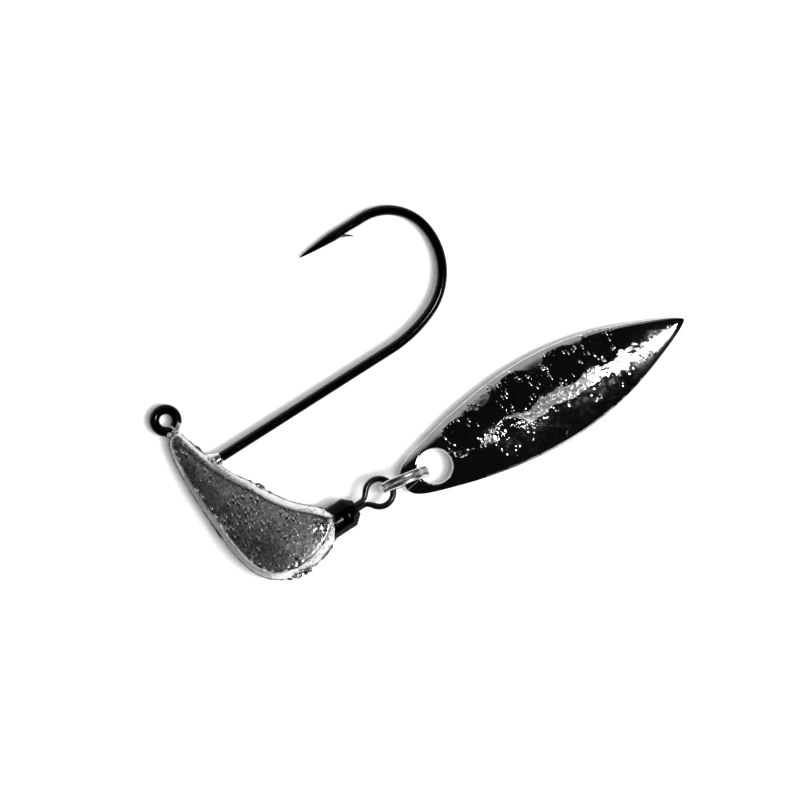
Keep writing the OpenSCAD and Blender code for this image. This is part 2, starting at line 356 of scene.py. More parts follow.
def drawn_wire_recipe() -> Recipe:
    """A wire swept along a line of points that carry their own half thickness.

    Returns:
        A recipe with the inputs Sides, Flat, Width, Height and Corner.
    """
    recipe = Recipe("Drawn wire")
    bench = recipe.bench
    sides = recipe.input("Sides", "Int")
    flat = recipe.input("Flat", "Bool")
    width = recipe.input("Width")
    height = recipe.input("Height")
    corner = recipe.input("Corner")
    line = bench.add("GeometryNodeMeshToCurve", {"Mesh": recipe.source.outputs["Geometry"]})
    inputs = {"Curve": line.outputs[0], "Selection": flat}
    upright = bench.add("GeometryNodeSetCurveNormal", inputs, mode="Z_UP")
    run = bench.add("GeometryNodeCaptureAttribute", {"Geometry": upright.outputs[0]})
    run.capture_items.new("FLOAT", "Length")
    parameter = bench.add("GeometryNodeSplineParameter")
    bench.tree.links.new(parameter.outputs["Length"], run.inputs["Length"])
    inputs = {"Resolution": sides, "Radius": 1.0}
    circle = bench.add("GeometryNodeCurvePrimitiveCircle", inputs, mode="RADIUS")
    inputs = {"Width": width, "Height": height}
    box = bench.add("GeometryNodeCurvePrimitiveQuadrilateral", inputs, mode="RECTANGLE")
    inputs = {"Curve": box.outputs[0], "Count": 4, "Radius": corner}
    rounded = bench.add("GeometryNodeFilletCurve", inputs, mode="POLY")
    inputs = {"Switch": flat, "False": circle.outputs[0], "True": rounded.outputs[0]}
    profile = bench.add("GeometryNodeSwitch", inputs)
    around = bench.add("GeometryNodeCaptureAttribute", {"Geometry": profile.outputs[0]})
    around.capture_items.new("VECTOR", "Place")
    bench.tree.links.new(bench.add("GeometryNodeInputPosition").outputs[0], around.inputs["Place"])
    swept = bench.add(
        "GeometryNodeCurveToMesh",
        {"Curve": run.outputs[0], "Profile Curve": around.outputs[0], "Scale": bench.named("thickness"),
         "Fill Caps": True},
    )
    length = bench.add(
        "GeometryNodeStoreNamedAttribute",
        {"Geometry": swept.outputs[0], "Name": "wire_length", "Value": run.outputs["Length"]},
    )
    place = bench.add(
        "GeometryNodeStoreNamedAttribute", {"Geometry": length.outputs[0], "Name": "wire_round"},
        data_type="FLOAT_VECTOR",
    )
    bench.tree.links.new(around.outputs["Place"], place.inputs["Value"])
    recipe.close(place.outputs[0])
    return recipe


def cast_skin_recipe() -> Recipe:
    """The skin that lead takes on from an open mould: swells, grain, pits and torn patches.

    Returns:
        A recipe with the inputs Swell, Grain, Pit Depth, Tear and Seed.
    """
    recipe = Recipe("Cast skin")
    bench = recipe.bench
    swell = recipe.input("Swell")
    grain = recipe.input("Grain")
    pit_depth = recipe.input("Pit Depth")
    tear = recipe.input("Tear")
    seed = recipe.input("Seed")
    torn = bench.named("torn")
    at = bench.add("GeometryNodeInputPosition").outputs[0]
    low = bench.noise(at, 3.2, 1.0)
    fine = bench.noise(at, 0.55, 3.0)
    jagged = bench.noise(at, 0.7, 2.0)
    for node in bench.tree.nodes:
        if node.bl_idname == "ShaderNodeTexNoise":
            bench.tree.links.new(seed, node.inputs["W"])
    pits = bench.cells(at, 0.85)
    chosen = bench.math("GREATER_THAN", bench.lot(pits), 0.62)
    hollow = bench.product(bench.smooth(pits.outputs["Distance"], 0.34, 0.05), chosen)
    lumps = bench.cells(at, 0.62)
    picked = bench.math("LESS_THAN", bench.lot(lumps), 0.3)
    bead = bench.product(bench.smooth(lumps.outputs["Distance"], 0.36, 0.08), picked)
    parts = (
        bench.product(bench.math("SUBTRACT", low, 0.5), swell),
        bench.product(bench.math("SUBTRACT", fine, 0.5), grain),
        bench.product(hollow, -1.0, pit_depth),
        bench.product(bead, 0.55, pit_depth),
        bench.product(bench.math("SUBTRACT", jagged, 0.5), torn, tear),
    )
    rise = parts[0]
    for part in parts[1:]:
        rise = bench.math("ADD", rise, part)
    normal = bench.add("GeometryNodeInputNormal").outputs[0]
    offset = bench.add("ShaderNodeVectorMath", {0: normal, "Scale": rise}, operation="SCALE").outputs[0]
    recipe.close(recipe.moved(offset))
    return recipe


def hammer_recipe() -> Recipe:
    """Round hammer marks, pressed through a sheet that lies near the XY plane.

    Returns:
        A recipe with the inputs Marks and Lip. Marks is an object whose points carry a reach and a
        depth.
    """
    recipe = Recipe("Hammer marks")
    bench = recipe.bench
    marks = recipe.input("Marks", "Object")
    lip = recipe.input("Lip")
    points = bench.add("GeometryNodeObjectInfo", {"Object": marks}).outputs["Geometry"]
    at = bench.add("GeometryNodeInputPosition").outputs[0]
    flat = bench.vector("MULTIPLY", at, (1.0, 1.0, 0.0))
    inputs = {"Geometry": points, "Sample Position": flat}
    nearest = bench.add("GeometryNodeSampleNearest", inputs, domain="POINT")

    def carried(name: str) -> bpy.types.NodeSocket:
        """A number that the nearest mark carries.

        Args:
            name: The number's name.

        Returns:
            Its socket.
        """
        inputs = {"Geometry": points, "Index": nearest.outputs[0]}
        sample = bench.add("GeometryNodeSampleIndex", inputs, data_type="FLOAT")
        bench.tree.links.new(bench.named(name), sample.inputs["Value"])
        return sample.outputs[0]

    inputs = {"Geometry": points, "Index": nearest.outputs[0]}
    centre = bench.add("GeometryNodeSampleIndex", inputs, data_type="FLOAT_VECTOR")
    bench.tree.links.new(at, centre.inputs["Value"])
    inputs = {0: flat, 1: centre.outputs[0]}
    away = bench.add("ShaderNodeVectorMath", inputs, operation="DISTANCE").outputs["Value"]
    wobble = bench.swing(at, 1.5, 1.0, 0.0, 0.2)
    ragged = bench.swing(at, 0.42, 2.0, 4.0, 0.09)
    share = bench.math("ADD", bench.math("DIVIDE", away, carried("reach")), bench.math("ADD", wobble, ragged))
    bowl = bench.math("MAXIMUM", bench.math("SUBTRACT", 1.0, bench.math("POWER", share, 2.0)), 0.0)
    off_rim = bench.math("DIVIDE", bench.math("SUBTRACT", share, 1.03), 0.1)
    spread = bench.math("POWER", bench.math("ABSOLUTE", off_rim), 2.0)
    rim = bench.math("EXPONENT", bench.math("MULTIPLY", spread, -1.0))
    fall = bench.math("SUBTRACT", bench.product(rim, lip), bench.product(bowl, carried("depth")))
    offset = bench.add("ShaderNodeCombineXYZ", {"Z": fall}).outputs[0]
    struck = bench.product(carried("depth"), 5.0)
    recipe.close(recipe.moved(offset, bowl=bowl, rim=rim, struck=struck))
    return recipe


# ------------------------------------------------------------------ meshes


def mesh_object(name: str, points: np.ndarray, faces: list, edges: list = ()) -> bpy.types.Object:
    """Makes a mesh object in the scene.

    Args:
        name: The object's name.
        points: An n by 3 array.
        faces: Tuples of point numbers.
        edges: Pairs of point numbers, for a line.

    Returns:
        The new object.
    """
    mesh = bpy.data.meshes.new(name)
    mesh.from_pydata(np.asarray(points, float).tolist(), list(edges), faces)
    mesh.update()
    obj = bpy.data.objects.new(name, mesh)
    bpy.context.scene.collection.objects.link(obj)
    return obj


def points_of(obj: bpy.types.Object) -> np.ndarray:
    """The mesh's points as an n by 3 array.

    Args:
        obj: A mesh object.

    Returns:
        One row for each point.
    """
    flat = np.zeros(len(obj.data.vertices) * 3)
    obj.data.vertices.foreach_get("co", flat)
    return flat.reshape(-1, 3)


def set_points(obj: bpy.types.Object, points: np.ndarray) -> None:
    """Moves the mesh's points to new places."""
    obj.data.vertices.foreach_set("co", np.asarray(points, float).ravel())
    obj.data.update()


def set_attribute(obj: bpy.types.Object, name: str, values: np.ndarray) -> None:
    """Stores one number for each point under a name."""
    layer = obj.data.attributes.get(name) or obj.data.attributes.new(name, "FLOAT", "POINT")
    layer.data.foreach_set("value", np.asarray(values, np.float32))


def keep_modifiers(obj: bpy.types.Object) -> bpy.types.Object:
    """Turns the object's modifiers into its plain mesh.

    Args:
        obj: The object with its modifiers set.

    Returns:
        The same object, with none left.
    """
    graph = bpy.context.evaluated_depsgraph_get()
    made = bpy.data.meshes.new_from_object(obj.evaluated_get(graph), depsgraph=graph)
    obj.modifiers.clear()
    obj.data = made
    return obj


def line_object(name: str, points: np.ndarray, thickness: np.ndarray) -> bpy.types.Object:
    """A line of points that the drawn wire recipe turns into a wire.

    Args:
        name: The object's name.
        points: The middle of the wire.
        thickness: Half the wire's thickness at each point.

    Returns:
        The line as an object.
    """
    edges = [(i, i + 1) for i in range(len(points) - 1)]
    obj = mesh_object(name, points, [], edges)
    set_attribute(obj, "thickness", thickness)
    return obj


def loft(name: str, rings: list, ends: bool = True) -> bpy.types.Object:
    """A skin through rings that have the same number of points.

    Args:
        name: The object's name.
        rings: Arrays of points, each ring counter-clockwise as seen from where the skin leads.
        ends: Whether the first and last ring are filled.

    Returns:
        The skin as an object.
    """
    count = len(rings[0])
    faces = []
    for ring in range(len(rings) - 1):
        for i in range(count):
            j = (i + 1) % count
            faces.append((ring * count + i, ring * count + j, (ring + 1) * count + j, (ring + 1) * count + i))
    if ends:
        top = (len(rings) - 1) * count
        faces.append(tuple(range(count))[::-1])
        faces.append(tuple(range(top, top + count)))
    return mesh_object(name, np.concatenate(rings), faces)


def lathe(name: str, profile: list, sides: int = 96) -> bpy.types.Object:
    """A closed turned shape round the X axis.

    Args:
        name: The object's name.
        profile: (x, radius) pairs of a closed outline that doesn't cross the axis, or of an open
            outline that starts and ends on it.
        sides: How many faces go round.

    Returns:
        The turned shape as an object.
    """
    turn = np.linspace(0, TURN, sides, endpoint=False)
    solid = profile[0][1] == 0
    rims = profile[1:-1] if solid else profile
    points = [(x, r * math.cos(a), r * math.sin(a)) for x, r in rims for a in turn]
    rows = len(rims)
    faces = []
    for row in range(rows - 1 if solid else rows):
        under = (row + 1) % rows
        for i in range(sides):
            j = (i + 1) % sides
            faces.append((row * sides + i, row * sides + j, under * sides + j, under * sides + i))
    if solid:
        first = len(points)
        points += [(profile[0][0], 0, 0), (profile[-1][0], 0, 0)]
        last_row = (rows - 1) * sides
        for i in range(sides):
            j = (i + 1) % sides
            faces.append((j, i, first))
            faces.append((last_row + i, last_row + j, first + 1))
    obj = mesh_object(name, np.array(points), faces)
    face_outwards(obj)
    return obj


def face_outwards(obj: bpy.types.Object) -> None:
    """Merges doubled points and turns every face outwards.

    Args:
        obj: A closed mesh object.
    """
    made = bmesh.new()
    made.from_mesh(obj.data)
    bmesh.ops.remove_doubles(made, verts=made.verts, dist=MERGE_WITHIN)
    bmesh.ops.recalc_face_normals(made, faces=made.faces)
    made.to_mesh(obj.data)
    made.free()


def shade_smooth(obj: bpy.types.Object) -> None:
    """Shades every face smoothly."""
    for face in obj.data.polygons:
        face.use_smooth = True


def join(first: bpy.types.Object, *others: bpy.types.Object) -> bpy.types.Object:
    """Joins objects into the first one.

    Args:
        first: The object that stays.
        *others: The objects that go into it.

    Returns:
        The first object.
    """
    bpy.context.view_layer.update()
    with bpy.context.temp_override(active_object=first, selected_editable_objects=[first, *others]):
        bpy.ops.object.join()
    return first


def remove(*objs: bpy.types.Object) -> None:
    """Takes helper objects out of the scene."""
    for obj in objs:
        bpy.data.objects.remove(obj)


def smooth_curve(points: list, steps: int, closed: bool) -> np.ndarray:
    """A smooth curve through points, as an even number of steps for each stretch.

    Args:
        points: The points to pass through.
        steps: How many steps go from one point to the next.
        closed: Whether the last point leads back to the first.

    Returns:
        The points along the curve.
    """
    given = np.array(points, float)
    count = len(given)
    out = []
    for i in range(count if closed else count - 1):
        picks = [(i + k) % count if closed else min(max(i + k, 0), count - 1) for k in (-1, 0, 1, 2)]
        p0, p1, p2, p3 = given[picks]
        for step in range(steps):
            t = step / steps
            out.append(0.5 * (2 * p1 + (p2 - p0) * t + (2 * p0 - 5 * p1 + 4 * p2 - p3) * t**2
                              + (3 * p1 - p0 - 3 * p2 + p3) * t**3))
    if not closed:
        out.append(given[-1])
    return np.array(out)


def arc(centre: tuple, radius: float, start: float, end: float, step: float = 3.0) -> np.ndarray:
    """Points on a left-hand turn in the XY plane, by heading in degrees.

    Args:
        centre: The turn's centre.
        radius: Its radius.
        start: The heading at its start.
        end: The heading at its end.
        step: Degrees between points.

    Returns:
        An n by 3 array.
    """
    count = max(2, int(round(abs(end - start) / step)) + 1)
    heading = np.radians(np.linspace(start, end, count))
    x = centre[0] + radius * np.sin(heading)
    y = centre[1] - radius * np.cos(heading)
    return np.stack([x, y, np.zeros(count)], 1)


def straight(start: tuple, end: tuple, step: float = 0.5) -> np.ndarray:
    """Evenly spaced points on a straight stretch, both ends included.

    Args:
        start: Where it starts.
        end: Where it ends.
        step: About how far apart the points are.

    Returns:
        An n by 3 array.
    """
    a = np.array([*start, 0.0])
    b = np.array([*end, 0.0])
    count = max(2, int(np.linalg.norm(b - a) / step) + 1)
    return a + np.linspace(0, 1, count)[:, None] * (b - a)


def bent(start: tuple, leave: tuple, arrive: tuple, end: tuple, count: int = 12) -> np.ndarray:
    """A cubic bend from start to end that leaves and arrives through two handles.

    Args:
        start: Where it starts.
        leave: The handle that it leaves towards.
        arrive: The handle that it arrives from.
        end: Where it ends.
        count: How many points it has.

    Returns:
        An n by 3 array.
    """
    p0, p1, p2, p3 = (np.array([*p, 0.0]) for p in (start, leave, arrive, end))
    t = np.linspace(0, 1, count)[:, None]
    return (1 - t) ** 3 * p0 + 3 * (1 - t) ** 2 * t * p1 + 3 * (1 - t) * t**2 * p2 + t**3 * p3


def chain(*stretches: np.ndarray) -> np.ndarray:
    """Stretches end to end, without the points that they share.

    Args:
        *stretches: Arrays of points.

    Returns:
        An n by 3 array.
    """
    joined = np.concatenate(stretches)
    gap = np.linalg.norm(np.diff(joined, axis=0), axis=1)
    return joined[np.concatenate([[True], gap > MERGE_WITHIN])]


def mark_wear(obj: bpy.types.Object) -> None:
    """Stores how far each point stands out from its neighbours, as the attribute "ridge".

    Args:
        obj: A piece that is still in millimetres.
    """
    mesh = obj.data
    pairs = np.zeros(len(mesh.edges) * 2, int)
    mesh.edges.foreach_get("vertices", pairs)
    pairs = pairs.reshape(-1, 2)
    at = points_of(obj)
    normal = np.zeros(len(at) * 3)
    mesh.vertex_normals.foreach_get("vector", normal)
    normal = normal.reshape(-1, 3)
    total = np.zeros_like(at)
    count = np.zeros(len(at))
    reach = np.zeros(len(at))
    length = np.linalg.norm(at[pairs[:, 0]] - at[pairs[:, 1]], axis=1)
    for a, b in (pairs.T, pairs.T[::-1]):
        np.add.at(total, a, at[b])
        np.add.at(count, a, 1)
        np.add.at(reach, a, length)
    count = np.maximum(count, 1)
    stand = ((at - total / count[:, None]) * normal).sum(1) / np.maximum((reach / count) ** 2, 1e-9)
    for _ in range(2):
        near = stand.copy()
        for a, b in (pairs.T, pairs.T[::-1]):
            np.add.at(near, a, stand[b])
        stand = near / (count + 1)
    set_attribute(obj, "ridge", stand)


class Fitter:
    """Puts finished pieces on the frame."""

    def __init__(self, places: Places) -> None:
        """Keeps the lure's places.

        Args:
            places: Where the linked pieces meet.
        """
        self.lie_down = places.lie_down()

    def fit(self, piece: bpy.types.Object, body: Body, slot: str, *nodes: str) -> bpy.types.Object:
        """Lays a piece down with the lure, and says what it stands for.

        Args:
            piece: The piece, drawn in millimetres.
            body: The body that it rides on.
            slot: The record's material slot. Not used.
            *nodes: The frame's nodes that it stands for.

        Returns:
            The fitted piece.
        """
        piece.data.transform(self.lie_down)
        piece.data.update()
        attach(piece, body.value)
        if nodes:
            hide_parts(*nodes)
        at = points_of(piece) / MM
        box = f"{at.min(0).round(2).tolist()} to {at.max(0).round(2).tolist()} mm"
        log.info("%s: %d faces, %s", piece.name, len(piece.data.polygons), box)
        for node in nodes:
            low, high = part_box(node)
            away = np.abs(np.array([*(at.min(0) - np.array(low) / MM), *(at.max(0) - np.array(high) / MM)]))
            log.info("  off the frame's %s by at most %.2f mm", node, away.max())
        return piece


# ------------------------------------------------------------------ finishes


def shader_group(name: str, inputs: dict, outputs: tuple) -> tuple[Bench, dict, bpy.types.Node]:
    """Starts a shader node group.

    Args:
        name: The group's name.
        inputs: Default values of its number inputs, by name.
        outputs: Names of its value outputs.

    Returns:
        A bench for the group, its input sockets by name, and its output node.
    """
    tree = bpy.data.node_groups.new(name, "ShaderNodeTree")
    for key, value in inputs.items():
        socket = tree.interface.new_socket(key, in_out="INPUT", socket_type="NodeSocketFloat")
        socket.default_value = value
    for key in outputs:
        tree.interface.new_socket(key, in_out="OUTPUT", socket_type="NodeSocketFloat")
    source = tree.nodes.new("NodeGroupInput")
    return Bench(tree), dict(source.outputs.items()), tree.nodes.new("NodeGroupOutput")


class Effects:
    """Surface effects that several finishes share, each built once as a shader node group."""

    def __init__(self) -> None:
        """Builds every group."""
        self.mottling = self.build_mottling()
        self.wear = self.build_wear()
        self.scratches = self.build_scratches()
        self.specks = self.build_specks()

    @staticmethod
    def place(bench: Bench) -> bpy.types.NodeSocket:
        """The place on a piece in millimetres."""
        at = bench.add("ShaderNodeTexCoord").outputs["Object"]
        return bench.add("ShaderNodeVectorMath", {0: at, "Scale": 1 / MM}, operation="SCALE").outputs[0]

    def build_mottling(self) -> bpy.types.NodeTree:
        """Broad patches and fine grain.

        Returns:
            A group with the outputs Patches and Grain.
        """
        inputs = {"Patch Size": 2.0, "Grain Size": 0.3, "Seed": 0.0}
        bench, given, out = shader_group("Mottling", inputs, ("Patches", "Grain"))
        at = self.place(bench)
        for key, detail, output in (("Patch Size", 4.0, "Patches"), ("Grain Size", 5.0, "Grain")):
            scale = bench.math("DIVIDE", 1.0, given[key])
            values = {"Vector": at, "W": given["Seed"], "Scale": scale, "Detail": detail, "Roughness": 0.6}
            noise = bench.add("ShaderNodeTexNoise", values, noise_dimensions="4D")
            bench.tree.links.new(bench.smooth(noise.outputs[0], 0.3, 0.7), out.inputs[output])
        return bench.tree

    def build_wear(self) -> bpy.types.NodeTree:
        """Wear where the surface stands out, broken up by noise, and grime where it lies back.

        Returns:
            A group with the outputs Worn and Grime.
        """
        inputs = {"Start": 0.1, "Full": 0.5, "Break Up": 0.5}
        bench, given, out = shader_group("Edge wear", inputs, ("Worn", "Grime"))
        at = self.place(bench)
        stand = bench.add("ShaderNodeAttribute", attribute_name="ridge").outputs["Fac"]
        rough = bench.swing(at, 0.5, 4.0, 3.0, given["Break Up"])
        for sign, output in ((1.0, "Worn"), (-1.0, "Grime")):
            level = bench.math("ADD", bench.product(stand, sign), rough)
            span = bench.math("SUBTRACT", given["Full"], given["Start"])
            share = bench.math("DIVIDE", bench.math("SUBTRACT", level, given["Start"]), span)
            bench.tree.links.new(bench.smooth(share, 0.0, 1.0), out.inputs[output])
        return bench.tree

    def build_scratches(self) -> bpy.types.NodeTree:
        """Hairline scratches in three directions.

        Returns:
            A group with the output Scratches.
        """
        inputs = {"Spacing": 0.5, "Length": 6.0, "Fineness": 0.03}
        bench, given, out = shader_group("Fine scratches", inputs, ("Scratches",))
        at = self.place(bench)
        total = None
        for turn, tilt in ((0.4, 0.1), (2.1, -0.2), (1.25, 0.3)):
            turned = bench.add("ShaderNodeVectorRotate", {"Vector": at, "Rotation": (tilt, -tilt, turn)},
                               rotation_type="EULER_XYZ").outputs[0]
            sizes = [given["Length"], given["Spacing"], given["Spacing"]]
            shares = {i: bench.math("DIVIDE", 1.0, size) for i, size in enumerate(sizes)}
            stretch = bench.add("ShaderNodeCombineXYZ", shares).outputs[0]
            inputs = {"Vector": bench.vector("MULTIPLY", turned, stretch), "Scale": 1.0, "Detail": 1.0}
            lines = bench.add("ShaderNodeTexNoise", inputs).outputs[0]
            off = bench.math("ABSOLUTE", bench.math("SUBTRACT", lines, 0.5))
            off = bench.math("MINIMUM", bench.math("DIVIDE", off, given["Fineness"]), 1.0)
            patchy = bench.smooth(bench.noise(turned, 2.5, 2.0, turn), 0.5, 0.62)
            hair = bench.product(bench.math("SUBTRACT", 1.0, off), patchy)
            total = hair if total is None else bench.math("MAXIMUM", total, hair)
        bench.tree.links.new(total, out.inputs["Scratches"])
        return bench.tree

    def build_specks(self) -> bpy.types.NodeTree:
        """Small scattered specks, gathered in clusters and a little longer than wide.

        Returns:
            A group with the output Specks, which is highest in the middle of a speck.
        """
        inputs = {"Spacing": 0.6, "Share": 0.3, "Speck": 0.12, "Cluster": 0.5}
        bench, given, out = shader_group("Specks", inputs, ("Specks",))
        at = self.place(bench)
        long = bench.vector("MULTIPLY", at, (1.0, 0.6, 1.0))
        values = {"Vector": long, "Scale": bench.math("DIVIDE", 1.0, given["Spacing"])}
        cell = bench.add("ShaderNodeTexVoronoi", values)
        chosen = bench.math("LESS_THAN", bench.lot(cell), given["Share"])
        share = bench.math("DIVIDE", cell.outputs["Distance"], given["Speck"])
        crowd = bench.math("SUBTRACT", bench.noise(at, 2.2, 2.0, 8.0), given["Cluster"])
        speck = bench.product(bench.smooth(share, 1.0, 0.0), chosen, bench.smooth(crowd, -0.05, 0.05))
        bench.tree.links.new(speck, out.inputs["Specks"])
        return bench.tree


def grey(value: float) -> tuple:
    """A plain grey."""
    return (value, value, value, 1.0)


class MetalBench(Bench):
    """The node tree of one metal finish, with its shader in place."""

    def __init__(self, name: str, effects: Effects, roughness: float) -> None:
        """Makes the material.

        Args:
            name: The material's name.
            effects: The shared effects.
            roughness: The shader's plain roughness, if nothing is linked to it.
        """
        self.material = bpy.data.materials.new(name)
        self.material.use_nodes = True
        super().__init__(self.material.node_tree)
        self.tree.nodes.clear()
        self.effects = effects
        self.shader = self.add("ShaderNodeBsdfPrincipled", {"Metallic": 1.0, "Roughness": roughness})
        self.add("ShaderNodeOutputMaterial", {"Surface": self.shader.outputs[0]})

    def group(self, tree: bpy.types.NodeTree, **values: float) -> dict:
        """Places a shared effect with its own values and gives its outputs by name.

        Args:
            tree: The effect's group.
            **values: Its inputs by name, with _ for a space.

        Returns:
            The output sockets by name.
        """
        inputs = {key.replace("_", " "): value for key, value in values.items()}
        node = self.tree.nodes.new("ShaderNodeGroup")
        node.node_tree = tree
        for key, value in inputs.items():
            node.inputs[key].default_value = value
        return dict(node.outputs.items())

    def carried(self, name: str) -> bpy.types.NodeSocket:
        """A number that the piece's points carry."""
        return self.add("ShaderNodeAttribute", attribute_name=name).outputs["Fac"]

    def layered(self, base: bpy.types.NodeSocket, layers: list | tuple) -> bpy.types.NodeSocket:
        """A colour with layers of plain greys over it.

        Args:
            base: The colour underneath.
            layers: The mask, strength and grey of each layer.

        Returns:
            The colour's socket.
        """
        for mask, strength, value in layers:
            base = self.tint(self.product(mask, strength), base, grey(value))
        return base

    def feed(self, socket: str, value: bpy.types.NodeSocket) -> None:
        """Links a value to one of the shader's inputs."""
        self.tree.links.new(value, self.shader.inputs[socket])

    def bump(self, height: bpy.types.NodeSocket, depth: float, under: object = None) -> bpy.types.NodeSocket:
        """A bump of a depth in millimetres, on top of another one.

        Args:
            height: The height from 0 to 1.
            depth: What a height of 1 stands for, in millimetres.
            under: The normal of the bump under it.

        Returns:
            The normal's socket.
        """
        inputs = {"Height": height, "Distance": depth * MM, "Strength": 1.0}
        if under is not None:
            inputs["Normal"] = under
        return self.add("ShaderNodeBump", inputs).outputs[0]


@dataclass(frozen=True)
class RawLead:
    """Unpainted cast lead, dull and mottled, with smoother sides, glinting specks, and painted light and
    shade.
    """

    name: str = "raw cast lead"
    dark: float = 0.10
    light: float = 0.42
    # The grey of the bevels, which are smoother and are also painted lighter as painted light.
    side: float = 0.6
    rubbed_and_highlight: float = 0.8
    oxide_and_shade: float = 0.035

    def build(self, effects: Effects) -> bpy.types.Material:
        """Builds the material.

        Args:
            effects: The shared effects.

        Returns:
            The material.
        """
        bench = MetalBench(self.name, effects, 0.45)
        mottle = bench.group(effects.mottling, Patch_Size=2.4, Grain_Size=0.24, Seed=1.7)
        wear = bench.group(effects.wear, Start=0.35, Full=1.3, Break_Up=0.9)
        lines = bench.group(effects.scratches, Spacing=0.3, Length=3.0, Fineness=0.03)
        glint = bench.group(effects.specks, Spacing=0.5, Share=0.75, Speck=0.46, Cluster=0.45)
        side = bench.carried("side")
        torn = bench.carried("torn")
        blend = bench.math("MULTIPLY_ADD", mottle["Patches"], 0.5, bench.product(mottle["Grain"], 0.5))
        base = bench.tint(blend, grey(self.dark), grey(self.light))
        # Painted light: a lighter copy of the mottled lead, laid over the rear of the cheek.
        painted_lit_base = bench.tint(blend, grey(self.light * 0.6), grey(self.light * 1.7))
        base = bench.tint(bench.carried("painted_rear_light"), base, painted_lit_base)
        # Layers: oxide in the hollows, the smoother bevels painted lighter as painted light, torn patches,
        # specks, scratches, wear, a painted highlight line, and painted shade on the front bevels and along
        # the rear crease.
        layers = (
            (wear["Grime"], 0.6, self.oxide_and_shade), (side, 1.0, self.side), (torn, 0.8, self.rubbed_and_highlight),
            (glint["Specks"], 0.85, self.rubbed_and_highlight), (lines["Scratches"], 0.4, self.rubbed_and_highlight),
            (wear["Worn"], 1.0, self.rubbed_and_highlight), (bench.carried("painted_highlight_line"), 1.0, self.rubbed_and_highlight),
            (bench.carried("painted_shade"), 1.0, self.oxide_and_shade),
        )
        bench.feed("Base Color", bench.layered(base, layers))
        rough = bench.between(mottle["Grain"], 0.36, 0.56)
        for mask, smoothed in ((side, 0.3), (torn, 0.22), (glint["Specks"], 0.2)):
            rough = bench.between(mask, rough, smoothed)
        bench.feed("Roughness", rough)
        at = Effects.place(bench)
        normal = bench.bump(bench.noise(at, 0.26, 4.0, 5.0), 0.035)
        normal = bench.bump(glint["Specks"], 0.24, normal)
        normal = bench.bump(lines["Scratches"], -0.01, normal)
        bench.feed("Normal", normal)
        return bench.material


@dataclass(frozen=True)
class BlackPlate:
    """Black nickel plate on drawn wire or turned brass: near black under a glossy lacquer."""

    name: str
    black: float = 0.008
    bare: float = 0.28
    gloss: float = 0.16
    haze: float = 0.3
    lacquer: float = 0.9

    def build(self, effects: Effects) -> bpy.types.Material:
        """Builds the material.

        Args:
            effects: The shared effects.

        Returns:
            The material.
        """
        bench = MetalBench(self.name, effects, self.gloss)
        bench.shader.inputs["Coat Weight"].default_value = self.lacquer
        bench.shader.inputs["Coat Roughness"].default_value = 0.06
        bench.shader.inputs["Coat IOR"].default_value = 1.33
        bench.shader.inputs["Specular Tint"].default_value = grey(0.15)
        mottle = bench.group(effects.mottling, Patch_Size=1.4, Grain_Size=0.12, Seed=4.2)
        wear = bench.group(effects.wear, Start=0.6, Full=1.8, Break_Up=0.9)
        lines = bench.group(effects.scratches, Spacing=0.18, Length=4.0, Fineness=0.025)
        specks = bench.group(effects.specks, Spacing=0.6, Share=0.2, Speck=0.1, Cluster=0.5)
        base = bench.tint(mottle["Patches"], grey(self.black), grey(self.black * 2.5))
        masks = ((wear["Worn"], 0.4), (lines["Scratches"], 0.12), (specks["Specks"], 0.25))
        bench.feed("Base Color", bench.layered(base, [(mask, part, self.bare) for mask, part in masks]))
        bench.feed("Roughness", bench.between(mottle["Grain"], self.gloss, self.haze))
        at = Effects.place(bench)
        normal = bench.bump(bench.noise(at, 0.4, 3.0, 2.0), 0.012)
        normal = bench.bump(lines["Scratches"], -0.003, normal)
        bench.feed("Normal", normal)
        return bench.material


@dataclass(frozen=True)
class BrightPlate:
    """Bright nickel plate: a mirror with fine scratches, haze and a little peel."""

    name: str
    bright: float = 0.74
    dull: float = 0.42
    gloss: float = 0.05
    haze: float = 0.16
    peel: float = 0.006

    def build(self, effects: Effects) -> bpy.types.Material:
        """Builds the material.

        Args:
            effects: The shared effects.

        Returns:
            The material.
        """
        bench = MetalBench(self.name, effects, self.gloss)
        mottle = bench.group(effects.mottling, Patch_Size=1.8, Grain_Size=0.16, Seed=7.9)
        wear = bench.group(effects.wear, Start=0.35, Full=1.4, Break_Up=0.6)
        lines = bench.group(effects.scratches, Spacing=0.16, Length=5.0, Fineness=0.025)
        base = bench.tint(mottle["Patches"], grey(self.bright), grey(self.bright * 0.85))
        bench.feed("Base Color", bench.layered(base, [(wear["Grime"], 0.5, self.dull)]))
        rough = bench.between(mottle["Grain"], self.gloss, self.haze)
        rough = bench.between(bench.product(lines["Scratches"], 0.4), rough, 0.3)
        bench.feed("Roughness", self.dulled(bench, rough))
        normal = bench.bump(bench.noise(Effects.place(bench), 0.5, 3.0, 2.0), self.peel)
        normal = bench.bump(lines["Scratches"], -0.002, normal)
        bench.feed("Normal", self.texture(bench, normal))
        return bench.material

    def dulled(self, bench: MetalBench, rough: bpy.types.NodeSocket) -> bpy.types.NodeSocket:
        """The surface's roughness where it has been worked."""
        return rough

    def texture(self, bench: MetalBench, normal: bpy.types.NodeSocket) -> bpy.types.NodeSocket:
        """The surface's normal with any texture of its own."""
        return normal


